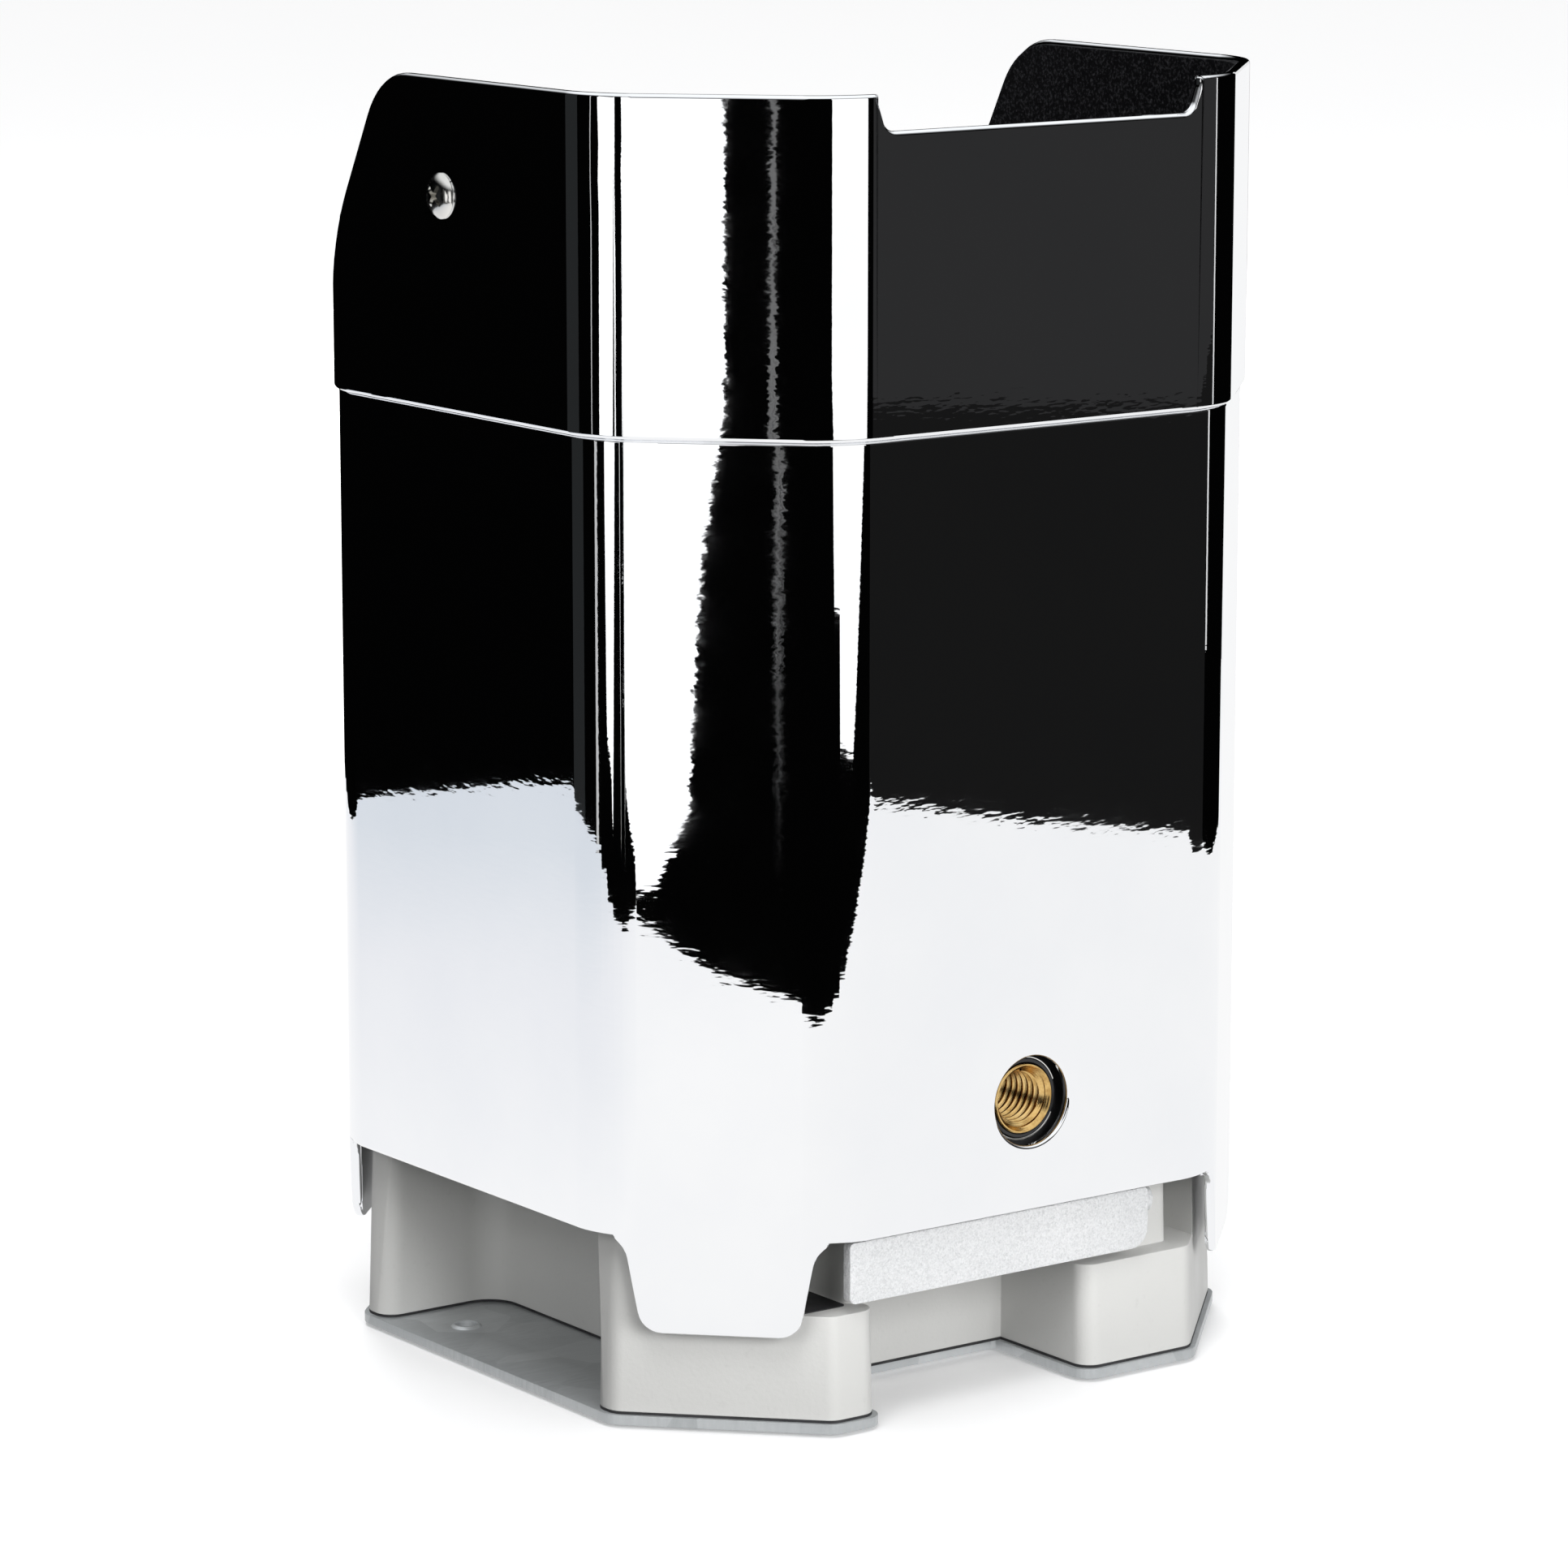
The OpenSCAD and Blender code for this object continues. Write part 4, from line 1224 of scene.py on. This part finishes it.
def studio_air():
    """Air that looks white, fills plain surfaces weakly, and is mirrored dark with a bright top."""
    world = bpy.data.worlds.new("studio_air")
    world.use_nodes = True
    tree = world.node_tree
    tree.nodes.clear()

    def air(colour, strength=0.0):
        node = tree.nodes.new("ShaderNodeBackground")
        node.inputs["Color"].default_value = (*colour, 1.0)
        node.inputs["Strength"].default_value = strength
        return node

    def choose(ray, otherwise, chosen):
        node = tree.nodes.new("ShaderNodeMixShader")
        tree.links.new(rays.outputs[ray], node.inputs[0])
        tree.links.new(otherwise.outputs[0], node.inputs[1])
        tree.links.new(chosen.outputs[0], node.inputs[2])
        return node

    rays = tree.nodes.new("ShaderNodeLightPath")
    seen = air((1.0, 1.0, 1.0), 1.0)
    fill = air((0.97, 0.98, 1.0), AIR_FILL)
    mirrored = air((0.96, 0.98, 1.0))
    way = tree.nodes.new("ShaderNodeTexCoord")
    split = tree.nodes.new("ShaderNodeSeparateXYZ")
    tree.links.new(way.outputs["Generated"], split.inputs[0])
    overhead = tree.nodes.new("ShaderNodeMapRange")
    overhead.interpolation_type = "SMOOTHSTEP"
    overhead.inputs["From Min"].default_value = 0.30
    overhead.inputs["From Max"].default_value = 0.7
    overhead.inputs["To Min"].default_value = 0.0008
    overhead.inputs["To Max"].default_value = 1.1
    tree.links.new(split.outputs["Z"], overhead.inputs["Value"])
    tree.links.new(overhead.outputs["Result"], mirrored.inputs["Strength"])
    unseen = choose("Is Glossy Ray", fill, mirrored)
    surface = tree.nodes.new("ShaderNodeOutputWorld").inputs["Surface"]
    tree.links.new(choose("Is Camera Ray", unseen, seen).outputs[0], surface)
    bpy.context.scene.world = world


def softbox(name, place, aim, size, power):
    """An area light that isn't itself mirrored."""
    lamp = bpy.data.lights.new(name, "AREA")
    lamp.shape = "RECTANGLE"
    lamp.size, lamp.size_y = size
    lamp.energy = power
    light = bpy.data.objects.new(name, lamp)
    light.location = place
    light.rotation_euler = (Vector(aim) - Vector(place)).to_track_quat("-Z", "Y").to_euler()
    light.visible_camera = False
    light.visible_glossy = False
    bpy.context.scene.collection.objects.link(light)
    return light


def camera():
    view = bpy.data.cameras.new("studio_camera")
    view.sensor_width = 36.0
    view.lens = LENS_LENGTH
    view.clip_start = 0.05
    view.clip_end = 60.0
    eye = bpy.data.objects.new("studio_camera", view)
    eye.location = EYE_PLACE
    eye.rotation_euler = (math.radians(90 - EYE_DOWN), 0, math.radians(-EYE_LEFT))
    bpy.context.scene.collection.objects.link(eye)
    bpy.context.scene.camera = eye


floor_and_table()
left_cards()
right_cards()
studio_air()
softbox("key_softbox", (-0.2, -1.7, 0.55), (0, 0, 0.04), (1.0, 0.8), 24)
softbox("left_softlight", (-1.5, -0.7, 0.75), (0, 0, 0.05), (0.9, 0.7), 8)
softbox("corner_softlight", (-0.8, -0.8, 1.7), (0, 0, 0.05), (0.8, 0.8), 13)
softbox("low_softlight", (0.6, -1.5, 0.22), (0, 0, 0.03), (0.6, 0.3), 4)
softbox("rear_softlight", (0.9, 1.5, 0.8), (0, 0, 0.05), (1.0, 0.8), 22)
softbox("top_softbox", (0.2, 0.2, 1.8), (0, 0, 0.1), (1.8, 1.8), 16)
camera()
bpy.context.scene.view_settings.view_transform = "Standard"
